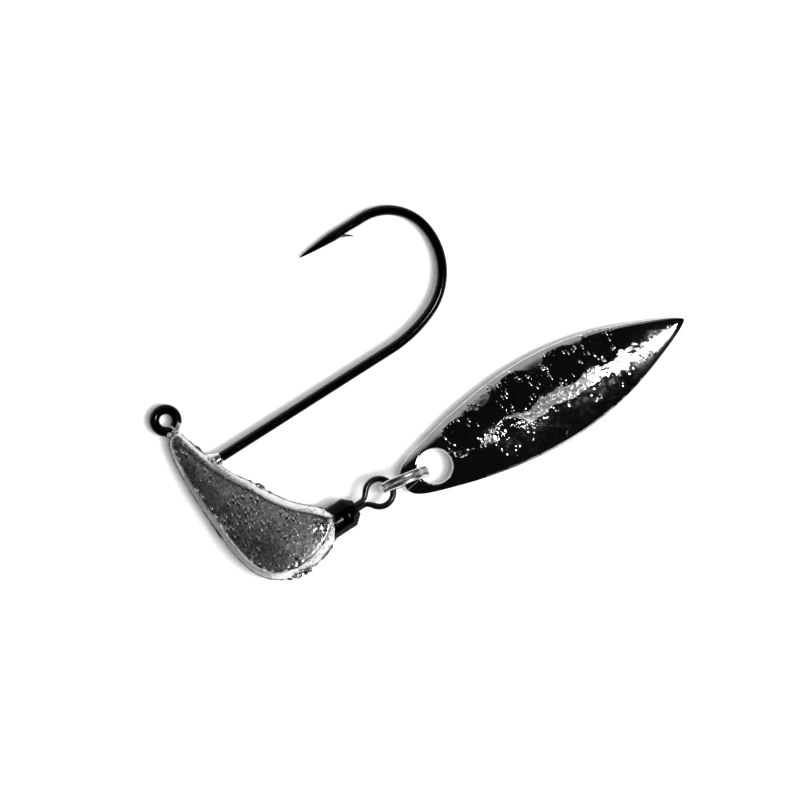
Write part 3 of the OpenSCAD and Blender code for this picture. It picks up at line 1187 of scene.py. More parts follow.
@dataclass(frozen=True)
class HammeredPlate(BrightPlate):
    """Bright nickel plate on hammered sheet: frosted along the ridge and sparkling round the marks."""

    frost: float = 0.16
    sparkle: float = 0.13

    def ridge(self, bench: MetalBench) -> bpy.types.NodeSocket:
        """Where the sheet is frosted: between the marks, from the hole to past the middle.

        Args:
            bench: The finish's node tree.

        Returns:
            A mask from 0 to 1.
        """
        land = bench.math("SUBTRACT", 1.0, bench.smooth(bench.carried("bowl"), 0.0, 0.06))
        at = Effects.place(bench)
        uneven = bench.product(bench.noise(at, 0.9, 4.0, 4.0), 1.1)
        middle = bench.math("ABSOLUTE", bench.math("ADD", bench.carried("across"), 0.15))
        off = bench.math("SUBTRACT", bench.math("ADD", middle, uneven), 0.4)
        along = bench.carried("along")
        ragged = bench.product(bench.noise(at, 0.6, 3.0, 3.0), 5.0)
        tail = bench.smooth(bench.math("ADD", along, ragged), 23.5, 20.5)
        return bench.product(land, bench.smooth(off, 1.3, 0.5), bench.smooth(along, 5.0, 9.0), tail)

    def dulled(self, bench: MetalBench, rough: bpy.types.NodeSocket) -> bpy.types.NodeSocket:
        """Dulls the frosted ridge, the lower marks and the underside of the tip.

        Args:
            bench: The finish's node tree.
            rough: The roughness so far.

        Returns:
            The roughness with the worked places.
        """
        at = Effects.place(bench)
        across = bench.carried("across")
        along = bench.carried("along")
        clouds = bench.smooth(bench.noise(at, 0.8, 4.0, 12.0), 0.35, 0.7)
        low = bench.product(bench.smooth(across, -0.9, -1.6), bench.smooth(along, 6.0, 9.0), clouds)
        rough = bench.between(low, rough, 0.16)
        tip = bench.product(bench.smooth(along, 23.0, 26.0), bench.smooth(across, -0.5, -0.8))
        rough = bench.between(tip, rough, 0.19)
        frost = bench.between(bench.smooth(bench.noise(at, 0.3, 2.0, 14.0), 0.4, 0.6), 0.28, 1.0)
        return bench.between(self.ridge(bench), rough, frost)

    def texture(self, bench: MetalBench, normal: bpy.types.NodeSocket) -> bpy.types.NodeSocket:
        """Adds the frost between the marks and the torn specks on their rims.

        Args:
            bench: The finish's node tree.
            normal: The normal so far.

        Returns:
            The normal with the texture.
        """
        bowl = bench.carried("bowl")
        grain = bench.product(bench.noise(Effects.place(bench), 0.28, 3.0, 9.0), self.ridge(bench))
        normal = bench.bump(grain, self.frost, normal)
        wall = bench.product(bench.smooth(bowl, 0.95, 0.45), bench.smooth(bowl, 0.0, 0.12))
        edge = bench.math("MAXIMUM", wall, bench.carried("rim"))
        specks = bench.group(bench.effects.specks, Spacing=0.38, Share=0.9, Speck=0.45, Cluster=0.36)
        torn = bench.product(specks["Specks"], edge, bench.carried("struck"))
        return bench.bump(torn, self.sparkle, normal)


# ------------------------------------------------------------------ the lead head


@dataclass(frozen=True)
class Torn:
    """A place where the lead is torn or left rough: its middle, reach and strength."""

    x: float
    y: float
    reach: float
    strength: float


@dataclass
class LeadHead:
    """The casting: a wedge-shaped head with drafted edges, a collar and the stub of its sprue."""

    places: Places
    width: float = 11.9
    height: float = 20.3
    nose_y: float = -1.78
    front: float = -1.75
    nose_thick: float = 2.9
    bevel: float = 0.8
    nose_bevel: float = 0.4
    full_bevel: float = 0.5
    collar_y: float = -6.63
    cushion: float = 0.42
    voxel: float = 0.095

    # The outline as shares of the width and the height, from the front edge and from the nose
    SHAPE = (
        (0.10, 0.010), (0.145, 0.000), (0.195, 0.015), (0.235, 0.09), (0.32, 0.24), (0.42, 0.36),
        (0.52, 0.45), (0.61, 0.55), (0.73, 0.65), (0.89, 0.74), (0.965, 0.785), (1.015, 0.835),
        (0.97, 0.885), (0.87, 0.94), (0.69, 0.985), (0.51, 1.00), (0.31, 0.975), (0.17, 0.92),
        (0.085, 0.84), (0.035, 0.72), (0.01, 0.55), (0.00, 0.34), (0.015, 0.15), (0.05, 0.05),
    )
    # The drafted side from one cheek to the other: share of the half thickness, share of the bevel
    SIDE = (
        (-1.0, 1.2), (-0.985, 1.0), (-0.95, 0.86), (-0.88, 0.72), (-0.75, 0.55), (-0.5, 0.3), (-0.25, 0.1),
        (-0.06, 0.0), (0.06, 0.0), (0.25, 0.1), (0.5, 0.3), (0.75, 0.55), (0.88, 0.72), (0.95, 0.86),
        (0.985, 1.0), (1.0, 1.2),
    )
    ROUGH = (
        Torn(3.4, -22.3, 1.9, 1.0), Torn(8.7, -19.1, 1.9, 0.85), Torn(2.8, -6.6, 1.3, 0.5),
        Torn(7.6, -21.0, 1.6, 0.3), Torn(4.8, -11.6, 0.9, 0.3), Torn(0.5, -1.4, 1.0, 0.5),
    )

    def half_thick(self, y: np.ndarray) -> np.ndarray:
        """Half of the thickness across the cheeks at a height."""
        slope = math.tan(self.places.wedge)
        return self.nose_thick / 2 + (self.nose_y - y) * slope

    def outline(self, share: float, steps: int = 10) -> np.ndarray:
        """The outline, moved inwards by a share of the bevel.

        Args:
            share: 0 at the parting line and 1 at a cheek.
            steps: Steps from one point of the shape to the next.

        Returns:
            An n by 2 array, clockwise.
        """
        shape = np.array(self.SHAPE)
        points = np.stack([shape[:, 0] * self.width + self.front, self.nose_y - shape[:, 1] * self.height], 1)
        run = np.roll(points, -1, 0) - np.roll(points, 1, 0)
        run /= np.linalg.norm(run, axis=1)[:, None]
        narrow = np.minimum(1, self.nose_bevel + (1 - self.nose_bevel) * shape[:, 1] / self.full_bevel)
        inwards = np.stack([run[:, 1], -run[:, 0]], 1)
        moved = points + share * (self.bevel * narrow)[:, None] * inwards
        return smooth_curve(moved.tolist(), steps, closed=True)

    def casting(self) -> bpy.types.Object:
        """The bare wedge, closed with a ladder of faces across each cheek.

        Returns:
            A closed mesh object.
        """
        rings = []
        for level, share in self.SIDE:
            flat = self.outline(share)
            rings.append(np.column_stack([flat, level * self.half_thick(flat[:, 1])]))
        obj = loft("casting", rings, ends=False)
        count = len(rings[0])
        top = (len(rings) - 1) * count
        faces = [tuple(p.vertices) for p in obj.data.polygons]
        for i in range(count // 2):
            rung = [i, i + 1, count - 1 - i, (count - i) % count]
            rung = list(dict.fromkeys(rung))
            faces.append(tuple(rung[::-1]))
            faces.append(tuple(top + k for k in rung))
        solid = mesh_object("casting solid", points_of(obj), faces)
        remove(obj)
        face_outwards(solid)
        return solid

    def collar(self) -> bpy.types.Object:
        """The lead that ran out along the shank.

        Returns:
            A closed mesh object.
        """
        start = self.width * 0.33 + self.front
        profile = [(start - 1.2, 0), (start - 1.2, 1.2), (start - 0.1, 0.98), (start + 0.3, 0.8),
                   (start + 0.6, 0.68), (start + 0.85, 0.61), (start + 0.85, 0)]
        obj = lathe("collar", profile, 32)
        obj.data.transform(Matrix.Translation((0, self.collar_y, 0)))
        return obj

    def sprue(self) -> bpy.types.Object:
        """The stub of the sprue under the belly, broken off at a slant.

        Returns:
            A closed mesh object.
        """
        middle = self.width * 0.52 + self.front
        belly = self.nose_y - self.height
        cut = np.array([(-2.6, 2.0), (-2.5, 0.75), (-1.7, 0.1), (-0.9, -0.5), (-0.2, -0.3), (0.4, -0.34),
                        (1.2, 0.35), (1.8, 1.0)])
        rings = [np.column_stack([cut + (middle, belly), np.full(len(cut), z)]) for z in (-1.1, 1.0)]
        obj = loft("sprue", rings)
        face_outwards(obj)
        return obj

    def smears(self) -> list:
        """Small beads of lead that crept up the foot of the line eye.

        Returns:
            The beads as objects.
        """
        beads = []
        for x, y, z, r in ((0.55, -1.55, 0.35, 0.36), (0.92, -1.2, 0.3, 0.28), (1.15, -0.88, 0.22, 0.2),
                           (0.1, -1.62, 0.5, 0.3), (-0.45, -1.55, 0.4, 0.28)):
            bead = lathe("bead", [(-r, 0), (-0.7 * r, 0.7 * r), (0, r), (0.7 * r, 0.7 * r), (r, 0)], 16)
            bead.data.transform(Matrix.Translation((x, y, z)))
            beads.append(bead)
        return beads

    def shape_cheeks(self, head: bpy.types.Object) -> None:
        """Rounds the cheeks like a cushion, and stores the masks that the finish needs, painted light and
        shade among them.

        Args:
            head: The remeshed casting.
        """
        at = points_of(head)
        line = self.outline(0.0, 6)
        gap = np.empty(len(at))
        turn = np.empty(len(at))
        for some in np.array_split(np.arange(len(at)), 40):
            away = np.linalg.norm(at[some, None, :2] - line[None], axis=2)
            gap[some] = away.min(1)
            turn[some] = away.argmin(1) / len(line)
        level = np.abs(at[:, 2]) / self.half_thick(at[:, 1])
        cheek = np.clip((level - 0.55) / 0.4, 0, 1)
        rear = (turn > 0.11) & (turn < 0.44)
        front = (turn > 0.7) & (turn < 0.9)
        # Painted light on the smoother bevels: they are painted lighter, much less so on the front bevels,
        # which face away from the key lamp.
        dull = 0.12 + 0.88 * np.clip((0.78 - turn) / 0.12, 0, 1) * (turn > 0.05) + 0.5 * (turn < 0.05)
        set_attribute(head, "side", dull * np.clip((0.93 - level) / 0.12, 0, 1))
        # Painted light: the cheek is painted lighter towards its rear, where it leans towards the key lamp.
        lean = at[:, 0] - 0.5 + 0.18 * (at[:, 1] + 6)
        set_attribute(head, "painted_rear_light", np.clip((lean + 0.9) / 3.4, 0, 1))
        line_at = self.bevel * 1.12
        # Painted shade: the front bevels darkened, and a dark line where the rear cheek meets its bevel.
        shaded = 0.5 * front * np.clip((0.96 - level) / 0.1, 0, 1)
        crease_shade = 0.8 * rear * cheek * np.exp(-(((gap - line_at) / 0.12) ** 2))
        set_attribute(head, "painted_shade", np.maximum(shaded, crease_shade))
        # Painted highlight: a bright line along the lower front edge of the cheek.
        low = np.clip(-0.6 * (at[:, 1] + 12.5), 0, 1)
        painted_highlight_mask = low * front * cheek * np.exp(-(((gap - line_at * 0.85) / 0.13) ** 2))
        set_attribute(head, "painted_highlight_line", painted_highlight_mask)
        at[:, 2] -= np.sign(at[:, 2]) * cheek * self.cushion * np.exp(-gap / 1.1)
        set_points(head, at)

    def torn(self, at: np.ndarray) -> np.ndarray:
        """How rough the lead is at each point, from 0 to 1.

        Args:
            at: The points.

        Returns:
            One number for each point.
        """
        rough = np.zeros(len(at))
        for spot in self.ROUGH:
            away = np.hypot(at[:, 0] - spot.x, at[:, 1] - spot.y) / spot.reach
            rough = np.maximum(rough, spot.strength * np.clip(1.3 - away, 0, 1))
        return rough

    def build(self, skin: Recipe, socket: bpy.types.Object, finish: bpy.types.Material) -> bpy.types.Object:
        """Builds the casting.

        Args:
            skin: The cast skin recipe.
            socket: The filled outer form of the swivel's barrel, which is cut out.
            finish: The lead's material.

        Returns:
            The head in millimetres.
        """
        head = join(self.casting(), self.collar(), self.sprue(), *self.smears())
        head.name = "cast_head"
        remesh = head.modifiers.new("one solid", "REMESH")
        remesh.mode = "VOXEL"
        remesh.voxel_size = self.voxel
        keep_modifiers(head)
        set_attribute(head, "torn", self.torn(points_of(head)))
        self.shape_cheeks(head)
        skin.run(head, Swell=0.12, Grain=0.035, Pit_Depth=0.045, Tear=0.6, Seed=2.0, Material=finish)
        carve = head.modifiers.new("swivel socket", "BOOLEAN")
        carve.operation = "DIFFERENCE"
        carve.solver = "EXACT"
        carve.object = socket
        keep_modifiers(head)
        mark_wear(head)
        return head

    def flash(self, wire: Recipe, finish: bpy.types.Material) -> bpy.types.Object:
        """The thin fin of lead that crept between the two halves of the mould.

        Args:
            wire: The drawn wire recipe.
            finish: The lead's material.

        Returns:
            The fin in millimetres.
        """
        line = self.outline(0.0, 14)
        count = len(line)
        turn = np.arange(count) / count * TURN
        ripple = 0.5 + 0.2 * np.sin(23 * turn + 1) + 0.18 * np.sin(41 * turn + 2.4) + 0.16 * np.sin(67 * turn)
        reach = 0.05 + 0.05 * ripple
        for x, y, spread, size in ((4.9, -11.8, 1.5, 0.3), (10.0, -18.9, 1.4, 0.34), (7.4, -21.3, 1.6, 0.2),
                                   (2.2, -21.9, 1.2, 0.2), (1.3, -4.4, 0.9, 0.16), (-1.7, -13.0, 2.2, 0.1)):
            near = np.exp(-((line[:, 0] - x) ** 2 + (line[:, 1] - y) ** 2) / spread**2)
            reach += size * near * np.clip(ripple * 1.6 - 0.35, 0, 1)
        points = np.column_stack([line, np.zeros(count)])
        fin = line_object("parting_flash", points, reach)
        wire.run(fin, Sides=4, Flat=Section.FLAT.value, Width=2.0, Height=0.34, Corner=0.1, Material=finish)
        mark_wear(fin)
        return fin


# ------------------------------------------------------------------ the hook


@dataclass
class JigHook:
    """One length of wire: line eye, stem, elbow, shank, bend, point and barb."""

    wire_r: float = 0.55
    eye_r: float = 1.226
    elbow_r: float = 1.6
    shank_y: float = -6.63
    shank_end: float = 24.8
    gap: float = 13.8
    entry_r: float = 15.0
    entry_turn: float = 22.5
    main_turn: float = 100.0
    exit_r: float = 5.3
    point_len: float = 8.1
    taper_len: float = 4.2
    tip_r: float = 0.04
    barb_len: float = 1.15

    def path(self) -> tuple[np.ndarray, float]:
        """The middle of the wire from the cut end of the line eye to the tip.

        Returns:
            The points, and the X of the tip.
        """
        start, end = math.radians(-73), math.radians(235)
        turn = np.linspace(start, end, 84)
        loop = np.column_stack([self.eye_r * np.cos(turn), self.eye_r * np.sin(turn), np.zeros(84)])
        last = loop[-1]
        way = np.array([-math.sin(end), math.cos(end)])
        neck = bent(last[:2], last[:2] + 0.5 * way, (0, -1.9), (0, -2.6))
        elbow_c = (self.elbow_r, self.shank_y + self.elbow_r)
        entry_c = np.array([self.shank_end, self.shank_y + self.entry_r])
        entry, main = math.radians(self.entry_turn), math.radians(self.main_turn)
        exit_rise = self.exit_r * (1 + math.cos(main))
        main_rise = self.gap - self.entry_r * (1 - math.cos(entry)) - exit_rise
        main_r = main_rise / (math.cos(entry) - math.cos(main))
        main_c = entry_c + (self.entry_r - main_r) * np.array([math.sin(entry), -math.cos(entry)])
        exit_c = main_c + (main_r - self.exit_r) * np.array([math.sin(main), -math.cos(main)])
        point_y = exit_c[1] + self.exit_r
        tip_x = exit_c[0] - self.point_len
        stretches = [
            loop, neck, straight((0, -2.6), (0, elbow_c[1])), arc(elbow_c, self.elbow_r, -90, 0, 6),
            straight((self.elbow_r, self.shank_y), (self.shank_end, self.shank_y)),
            arc(entry_c, self.entry_r, 0, self.entry_turn, 1.5),
            arc(main_c, main_r, self.entry_turn, self.main_turn, 2.0),
            arc(exit_c, self.exit_r, self.main_turn, 180, 2.0),
            straight((exit_c[0], point_y), (tip_x, point_y), 0.14),
        ]
        return chain(*stretches), tip_x

    def sliver(self, root: np.ndarray) -> bpy.types.Object:
        """The barb: a thin curved sliver that leans back towards the bend.

        Args:
            root: Where the sliver leaves the wire.

        Returns:
            The sliver as an object.
        """
        tip = root + self.barb_len * np.array([1.06, -0.72])
        line = bent(root, root + (0.42, -0.16), tip - (0.3, -0.33), tip, 14)
        share = np.linspace(0, 1, 14)
        rings = []
        for i, at in enumerate(line):
            run = line[min(i + 1, 13)] - line[max(i - 1, 0)]
            run /= np.linalg.norm(run)
            side = np.array([-run[1], run[0], 0])
            thick = 0.17 * (1 - share[i]) ** 0.8 + 0.03
            wide = self.wire_r * (0.8 - 0.62 * share[i])
            turn = np.linspace(0, TURN, 12, endpoint=False)
            ring = at + np.outer(np.cos(turn) * thick, side) + np.outer(np.sin(turn) * wide, (0, 0, 1))
            rings.append(ring)
        obj = loft("barb", rings)
        face_outwards(obj)
        shade_smooth(obj)
        return obj

    def build(self, wire: Recipe, finish: bpy.types.Material) -> bpy.types.Object:
        """Builds the hook.

        Args:
            wire: The drawn wire recipe.
            finish: The hook's material.

        Returns:
            The hook in millimetres.
        """
        points, tip_x = self.path()
        point_y = points[-1][1]
        radius = np.full(len(points), self.wire_r)
        on_point = (points[:, 1] > point_y - 0.01) & (points[:, 0] < tip_x + self.taper_len)
        share = (points[on_point, 0] - tip_x) / self.taper_len
        radius[on_point] = self.tip_r + (self.wire_r - self.tip_r) * share**0.75
        hook = line_object("jig_hook", points, radius)
        wire.run(hook, Sides=48, Flat=Section.ROUND.value, Width=1.0, Height=1.0, Corner=0.1, Material=finish)
        root_x = tip_x + self.taper_len + 1.0
        at = points_of(hook)
        under = (at[:, 0] > root_x + 0.1) & (at[:, 0] < root_x + 2.2) & (at[:, 1] > 5) & (at[:, 1] < point_y)
        depth = 0.11 * np.clip(1 - (at[under, 0] - root_x - 0.1) / 2.1, 0, 1)
        at[under, 1] = np.maximum(at[under, 1], point_y - self.wire_r + depth)
        set_points(hook, at)
        barb = self.sliver(np.array([root_x - 0.15, point_y - self.wire_r + 0.13]))
        barb.data.materials.append(finish)
        join(hook, barb)
        mark_wear(hook)
        return hook


# ------------------------------------------------------------------ the swivel


@dataclass
class Swivel:
    """A barrel swivel: a crimped sleeve and two wire eyes, one of them held in the lead."""

    places: Places
    barrel_r: float = 1.7
    barrel_len: float = 7.6
    wall: float = 0.35
    taper: float = 0.9
    end_r: float = 0.884
    mouth_r: float = 0.588
    wire_r: float = 0.34
    neck_wire_r: float = 0.272
    neck_side: float = 0.256
    neck_len: float = 1.4
    eye_r: float = 1.51
    button_len: float = 0.9
    running: float = 0.05

    def barrel_end(self) -> float:
        """The X of the sleeve's rear end."""
        return self.places.swivel_eye[0] - self.eye_r - self.neck_len

    def outside(self) -> list:
        """The sleeve's outer outline as (x, radius) pairs from its middle.

        Returns:
            The pairs from the front end to the rear end.
        """
        half = self.barrel_len / 2
        shoulder = half - self.taper
        rear = [
            (shoulder - 1.02, self.barrel_r), (shoulder - 0.94, self.barrel_r - 0.035),
            (shoulder - 0.86, self.barrel_r - 0.035), (shoulder - 0.78, self.barrel_r),
            (shoulder - 0.16, self.barrel_r), (shoulder - 0.05, self.barrel_r - 0.025),
            (shoulder + 0.06, self.barrel_r - 0.1), (half - 0.14, self.end_r + 0.07),
            (half - 0.04, self.end_r - 0.01), (half, self.end_r - 0.1),
        ]
        return [(-x, r) for x, r in rear[::-1]] + rear

    def socket(self) -> bpy.types.Object:
        """The filled outer form of the sleeve, for the lead to be cut by.

        Returns:
            A closed mesh object.
        """
        outline = self.outside()
        profile = [(outline[0][0], 0), *outline, (outline[-1][0], 0)]
        obj = lathe("socket", profile)
        self.centre(obj)
        return obj

    def centre(self, obj: bpy.types.Object) -> None:
        """Moves a shape from the sleeve's middle to its place."""
        middle = self.barrel_end() - self.barrel_len / 2
        obj.data.transform(Matrix.Translation((middle, self.places.swivel_eye[1], 0)))

    def sleeve(self, finish: bpy.types.Material) -> bpy.types.Object:
        """Builds the crimped sleeve.

        Args:
            finish: The sleeve's material.

        Returns:
            The sleeve in millimetres.
        """
        half = self.barrel_len / 2
        inner = self.barrel_r - self.wall
        inside = [(half, self.mouth_r), (half - 0.3, self.mouth_r),
                  (half - self.wall, self.end_r - self.wall + 0.1), (half - self.taper, inner)]
        profile = self.outside() + inside + [(-x, r) for x, r in inside[::-1]]
        obj = lathe("swivel_sleeve", profile)
        self.centre(obj)
        obj.data.materials.append(finish)
        shade_smooth(obj)
        obj.data.set_sharp_from_angle(angle=math.radians(50))
        mark_wear(obj)
        return obj

    def eye(self, name: str, wire: Recipe, finish: bpy.types.Material, front: bool) -> bpy.types.Object:
        """Builds one wire eye with its neck and the button that holds it in the sleeve.

        Args:
            name: The piece's name.
            wire: The drawn wire recipe.
            finish: The eye's material.
            front: Whether it is the front eye, which is the rear one mirrored.

        Returns:
            The eye in millimetres.
        """
        opening = math.radians(40)
        turn = np.linspace(math.pi + opening, 3 * math.pi - opening, 80)
        loop = np.column_stack([self.eye_r * np.cos(turn), self.eye_r * np.sin(turn), np.zeros(80)])
        reach = self.eye_r + self.neck_len
        inside = -reach - self.taper - self.running - 0.1
        near = -self.eye_r - 0.62
        way = np.array([-math.sin(turn[0]), math.cos(turn[0])])
        foot = (near, -self.neck_side)
        low = bent(foot, (near + 0.42, -self.neck_side), loop[0][:2] - 0.42 * way, loop[0][:2])
        lower = chain(straight((inside, -self.neck_side), foot, 0.2), low)
        points = chain(lower, loop, lower[::-1] * (1, -1, 1))
        radius = np.where(points[:, 0] < near, self.neck_wire_r, self.wire_r)
        rising = (points[:, 0] >= near) & (points[:, 0] < near + 1.0) & (np.abs(points[:, 1]) < 1.0)
        share = (points[rising, 0] - near) / 1.0
        radius[rising] = self.neck_wire_r + (self.wire_r - self.neck_wire_r) * share**1.5
        eye = line_object(name, points, radius)
        wire.run(eye, Sides=32, Flat=Section.ROUND.value, Width=1.0, Height=1.0, Corner=0.1, Material=finish)
        button_r = self.barrel_r - self.wall - 0.1
        back = inside + 0.1
        ahead = back - self.button_len
        button = lathe("button", [
            (ahead, 0), (ahead, button_r - 0.12), (ahead + 0.12, button_r), (back - 0.12, button_r),
            (back, button_r - 0.12), (back, 0),
        ], 48)
        button.data.materials.append(finish)
        join(eye, button)
        centre = self.places.swivel_eye
        eye.data.transform(Matrix.Translation((centre[0], centre[1], 0)))
        if front:
            middle = self.barrel_end() - self.barrel_len / 2
            eye.data.transform(Matrix.Translation((2 * middle, 0, 0)) @ Matrix.Scale(-1, 4, (1, 0, 0)))
            eye.data.flip_normals()
        mark_wear(eye)
        return eye


# ------------------------------------------------------------------ the split ring


@dataclass
class SplitRing:
    """A ring of two coils of flat wire that cross over once."""

    places: Places
    outer_r: float = 2.8
    wire_width: float = 0.56
    coil_thick: float = 0.52
    coil_gap: float = 0.08
    start: float = 10.0
    cross: float = 346.0
    cross_turn: float = 23.0
    stop: float = 703.0

    def build(self, wire: Recipe, finish: bpy.types.Material) -> bpy.types.Object:
        """Builds the ring.

        Args:
            wire: The drawn wire recipe.
            finish: The ring's material.

        Returns:
            The ring in millimetres.
        """
        turn = np.arange(self.start, self.stop, 1.5)
        share = np.clip((turn - self.cross) / self.cross_turn, 0, 1)
        rise = (self.coil_thick + self.coil_gap) * (share**2 * (3 - 2 * share) - 0.5)
        middle = self.outer_r - self.wire_width / 2
        angle = np.radians(turn)
        points = np.column_stack([middle * np.cos(angle), middle * np.sin(angle), rise])
        ring = line_object("two_turn_ring", points, np.ones(len(points)))
        wire.run(ring, Sides=8, Flat=Section.FLAT.value, Width=self.wire_width, Height=self.coil_thick,
                 Corner=0.13, Material=finish)
        stand = Matrix.Rotation(-self.places.ring_yaw, 4, "Z") @ Matrix.Rotation(math.pi / 2, 4, "X")
        ring.data.transform(Matrix.Translation(Vector(self.places.ring)) @ stand)
        mark_wear(ring)
        return ring


# ------------------------------------------------------------------ the blade


@dataclass
class WillowBlade:
    """A willow-leaf blade: cupped sheet with round hammer marks and a plain drilled hole."""

    places: Places
    length: float = 35.5
    width: float = 10.3
    thick: float = 0.6
    hole_r: float = 1.9
    hole_set: float = 3.9
    hole_reach: float = 3.633
    cup_r: float = 11.0
    camber_r: float = 130.0
    lift: float = 0.368
    yaw: float = 1.9
    slope: float = 2.222
    roll: float = 9.0
    edge: float = 0.12
    hole_edge: float = 0.28
    rolled: float = 0.13
    roll_reach: float = 0.24
    front_zone: float = 3.2
    across: int = 92
    rings: int = 22
    spacing: float = 0.105

    # Half of the outline: share of the length from the front end, share of the half width
    LEAF = (
        (0.00, 0.15), (0.015, 0.30), (0.05, 0.43), (0.12, 0.58), (0.22, 0.76), (0.34, 0.91), (0.46, 0.99),
        (0.58, 0.97), (0.70, 0.84), (0.80, 0.64), (0.89, 0.40), (0.96, 0.19), (0.995, 0.05),
    )
    # The hammer marks: their middle from the hole, their reach and their depth
    MARKS = (
        (4.1, 1.2, 2.1, 0.13), (7.5, 4.9, 1.95, 0.10), (11.9, 2.4, 2.3, 0.17), (17.5, 2.4, 2.25, 0.15),
        (22.1, 2.3, 2.05, 0.12), (9.0, -1.5, 2.15, 0.09), (14.3, -2.45, 1.75, 0.045),
        (20.4, -2.2, 1.95, 0.045), (25.3, -2.6, 2.1, 0.06),
    )

    def height(self, at: np.ndarray, depth: np.ndarray) -> np.ndarray:
        """The Z of the cupped sheet.

        Args:
            at: Points of the outline's plane.
            depth: The share of the thickness below the upper face.

        Returns:
            The height of each point.
        """
        cup = np.sqrt((self.cup_r - depth * self.thick) ** 2 - at[:, 1] ** 2)
        middle = self.length / 2 - self.hole_set
        return np.sqrt((self.camber_r - self.cup_r + cup) ** 2 - (at[:, 0] - middle) ** 2) - self.camber_r

    def half_outline(self) -> np.ndarray:
        """The upper half of the outline from the front end to the tip, moved in by the edge's radius.

        Returns:
            An n by 2 array.
        """
        leaf = np.array(self.LEAF) * (self.length, self.width / 2) - (self.hole_set, 0)
        tail = self.length - self.hole_set
        line = np.concatenate([smooth_curve(leaf.tolist(), 24, closed=False), [[tail, 0.0]]])
        whole = np.concatenate([line, (line * (1, -1))[-2::-1]])
        run = np.roll(whole, -1, 0) - np.roll(whole, 1, 0)
        run /= np.maximum(np.linalg.norm(run, axis=1), 1e-9)[:, None]
        inner = whole + self.edge * np.stack([run[:, 1], -run[:, 0]], 1)
        inner = inner[: len(line)]
        inner[-1] = (tail - self.edge, 0.0)
        inner[0] = (-self.hole_set + self.edge, line[0][1])
        return inner[np.concatenate([[True], np.diff(inner[:, 0]) > 1e-4])]

    def face(self) -> tuple[np.ndarray, list, list, list]:
        """The sheet's upper face in its plane: a fan of quads round the hole and a grid behind it.

        Returns:
            The points, the faces, and the outer and the inner border as point numbers.
        """
        half = self.half_outline()
        tail = half[-1][0]
        columns = np.arange(self.front_zone, tail - 0.05, self.spacing)
        columns = np.append(columns, tail - 0.01)
        rows = self.across
        widths = np.interp(columns, half[:, 0], half[:, 1])
        grid = [(x, w * (2 * r / rows - 1)) for x, w in zip(columns, widths) for r in range(rows + 1)]
        faces = []
        for c in range(len(columns) - 1):
            for r in range(rows):
                a = c * (rows + 1) + r
                faces.append((a, a + rows + 1, a + rows + 2, a + 1))
        fore = half[half[:, 0] < self.front_zone - 0.04]
        fore = fore[::2] if len(fore) > 120 else fore
        front_x = half[0][0]
        blunt = [(front_x, y) for y in np.linspace(fore[0][1], -fore[0][1], 14)[1:-1]]
        border = [*map(tuple, fore[::-1]), *blunt, *((x, -y) for x, y in fore)]
        loop = np.array([grid[r] for r in range(rows + 1)] + border)
        angle = np.arctan2(loop[:, 1], loop[:, 0])
        inner = (self.hole_r + self.hole_edge) * np.stack([np.cos(angle), np.sin(angle)], 1)
        rings = self.rings
        points = list(grid)
        number = {}
        for i in range(len(loop)):
            for j in range(rings + 1):
                if j == rings and i <= rows:
                    number[i, j] = i
                    continue
                number[i, j] = len(points)
                points.append(tuple(inner[i] + (loop[i] - inner[i]) * j / rings))
        for i in range(len(loop)):
            k = (i + 1) % len(loop)
            for j in range(rings):
                faces.append((number[i, j], number[i, j + 1], number[k, j + 1], number[k, j]))
        last = len(columns) - 1
        low = [c * (rows + 1) for c in range(len(columns))]
        tip = [last * (rows + 1) + r for r in range(1, rows)]
        high = [c * (rows + 1) + rows for c in range(last, -1, -1)]
        front = [number[i, rings] for i in range(rows + 1, len(loop))]
        hole = [number[i, 0] for i in range(len(loop))]
        return np.array(points), faces, low + tip + high + front, hole[::-1]

    def sheet(self) -> bpy.types.Object:
        """The closed sheet with rounded edges, flat on its own axes, before it is hammered.

        Returns:
            A closed mesh object.
        """
        flat, faces, outer, hole = self.face()
        count = len(flat)
        plan = [flat, flat]
        depth = [np.zeros(count), np.ones(count)]
        solid = list(faces) + [tuple(count + i for i in face[::-1]) for face in faces]
        total = 2 * count
        quarter = np.radians([15, 30, 45, 60, 75, 90])
        for border, edge in ((outer, self.edge), (hole, self.hole_edge)):
            stops = [(edge * math.sin(a), edge * (1 - math.cos(a)) / self.thick) for a in quarter]
            stops += [(out, 1 - down) for out, down in stops[::-1]]
            ring = flat[border]
            run = np.roll(ring, -1, 0) - np.roll(ring, 1, 0)
            run /= np.maximum(np.linalg.norm(run, axis=1), 1e-9)[:, None]
            outwards = np.stack([run[:, 1], -run[:, 0]], 1)
            size = len(border)
            rows = [list(border)]
            for out, down in stops:
                plan.append(ring + out * outwards)
                depth.append(np.full(size, down))
                rows.append(list(range(total, total + size)))
                total += size
            rows.append([count + i for i in border])
            for upper, under in zip(rows, rows[1:]):
                for i in range(size):
                    j = (i + 1) % size
                    solid.append((upper[j], upper[i], under[i], under[j]))
        at = np.concatenate(plan)
        rim = flat[outer]
        gap = np.concatenate([
            np.linalg.norm(some[:, None] - rim[None], axis=2).min(1) for some in np.array_split(at, 40)
        ])
        gap[2 * count : 2 * count + len(outer) * 2 * len(quarter)] = 0
        front = np.clip((6.5 - at[:, 0]) / 4, 0, 1) * (at[:, 1] > 0)
        lower = (self.rolled + 0.3 * front) * np.exp(-gap / (self.roll_reach + 0.9 * front))
        points = np.column_stack([at, self.height(at, np.concatenate(depth)) - lower])
        obj = mesh_object("hammered_blade", points, solid)
        face_outwards(obj)
        return obj

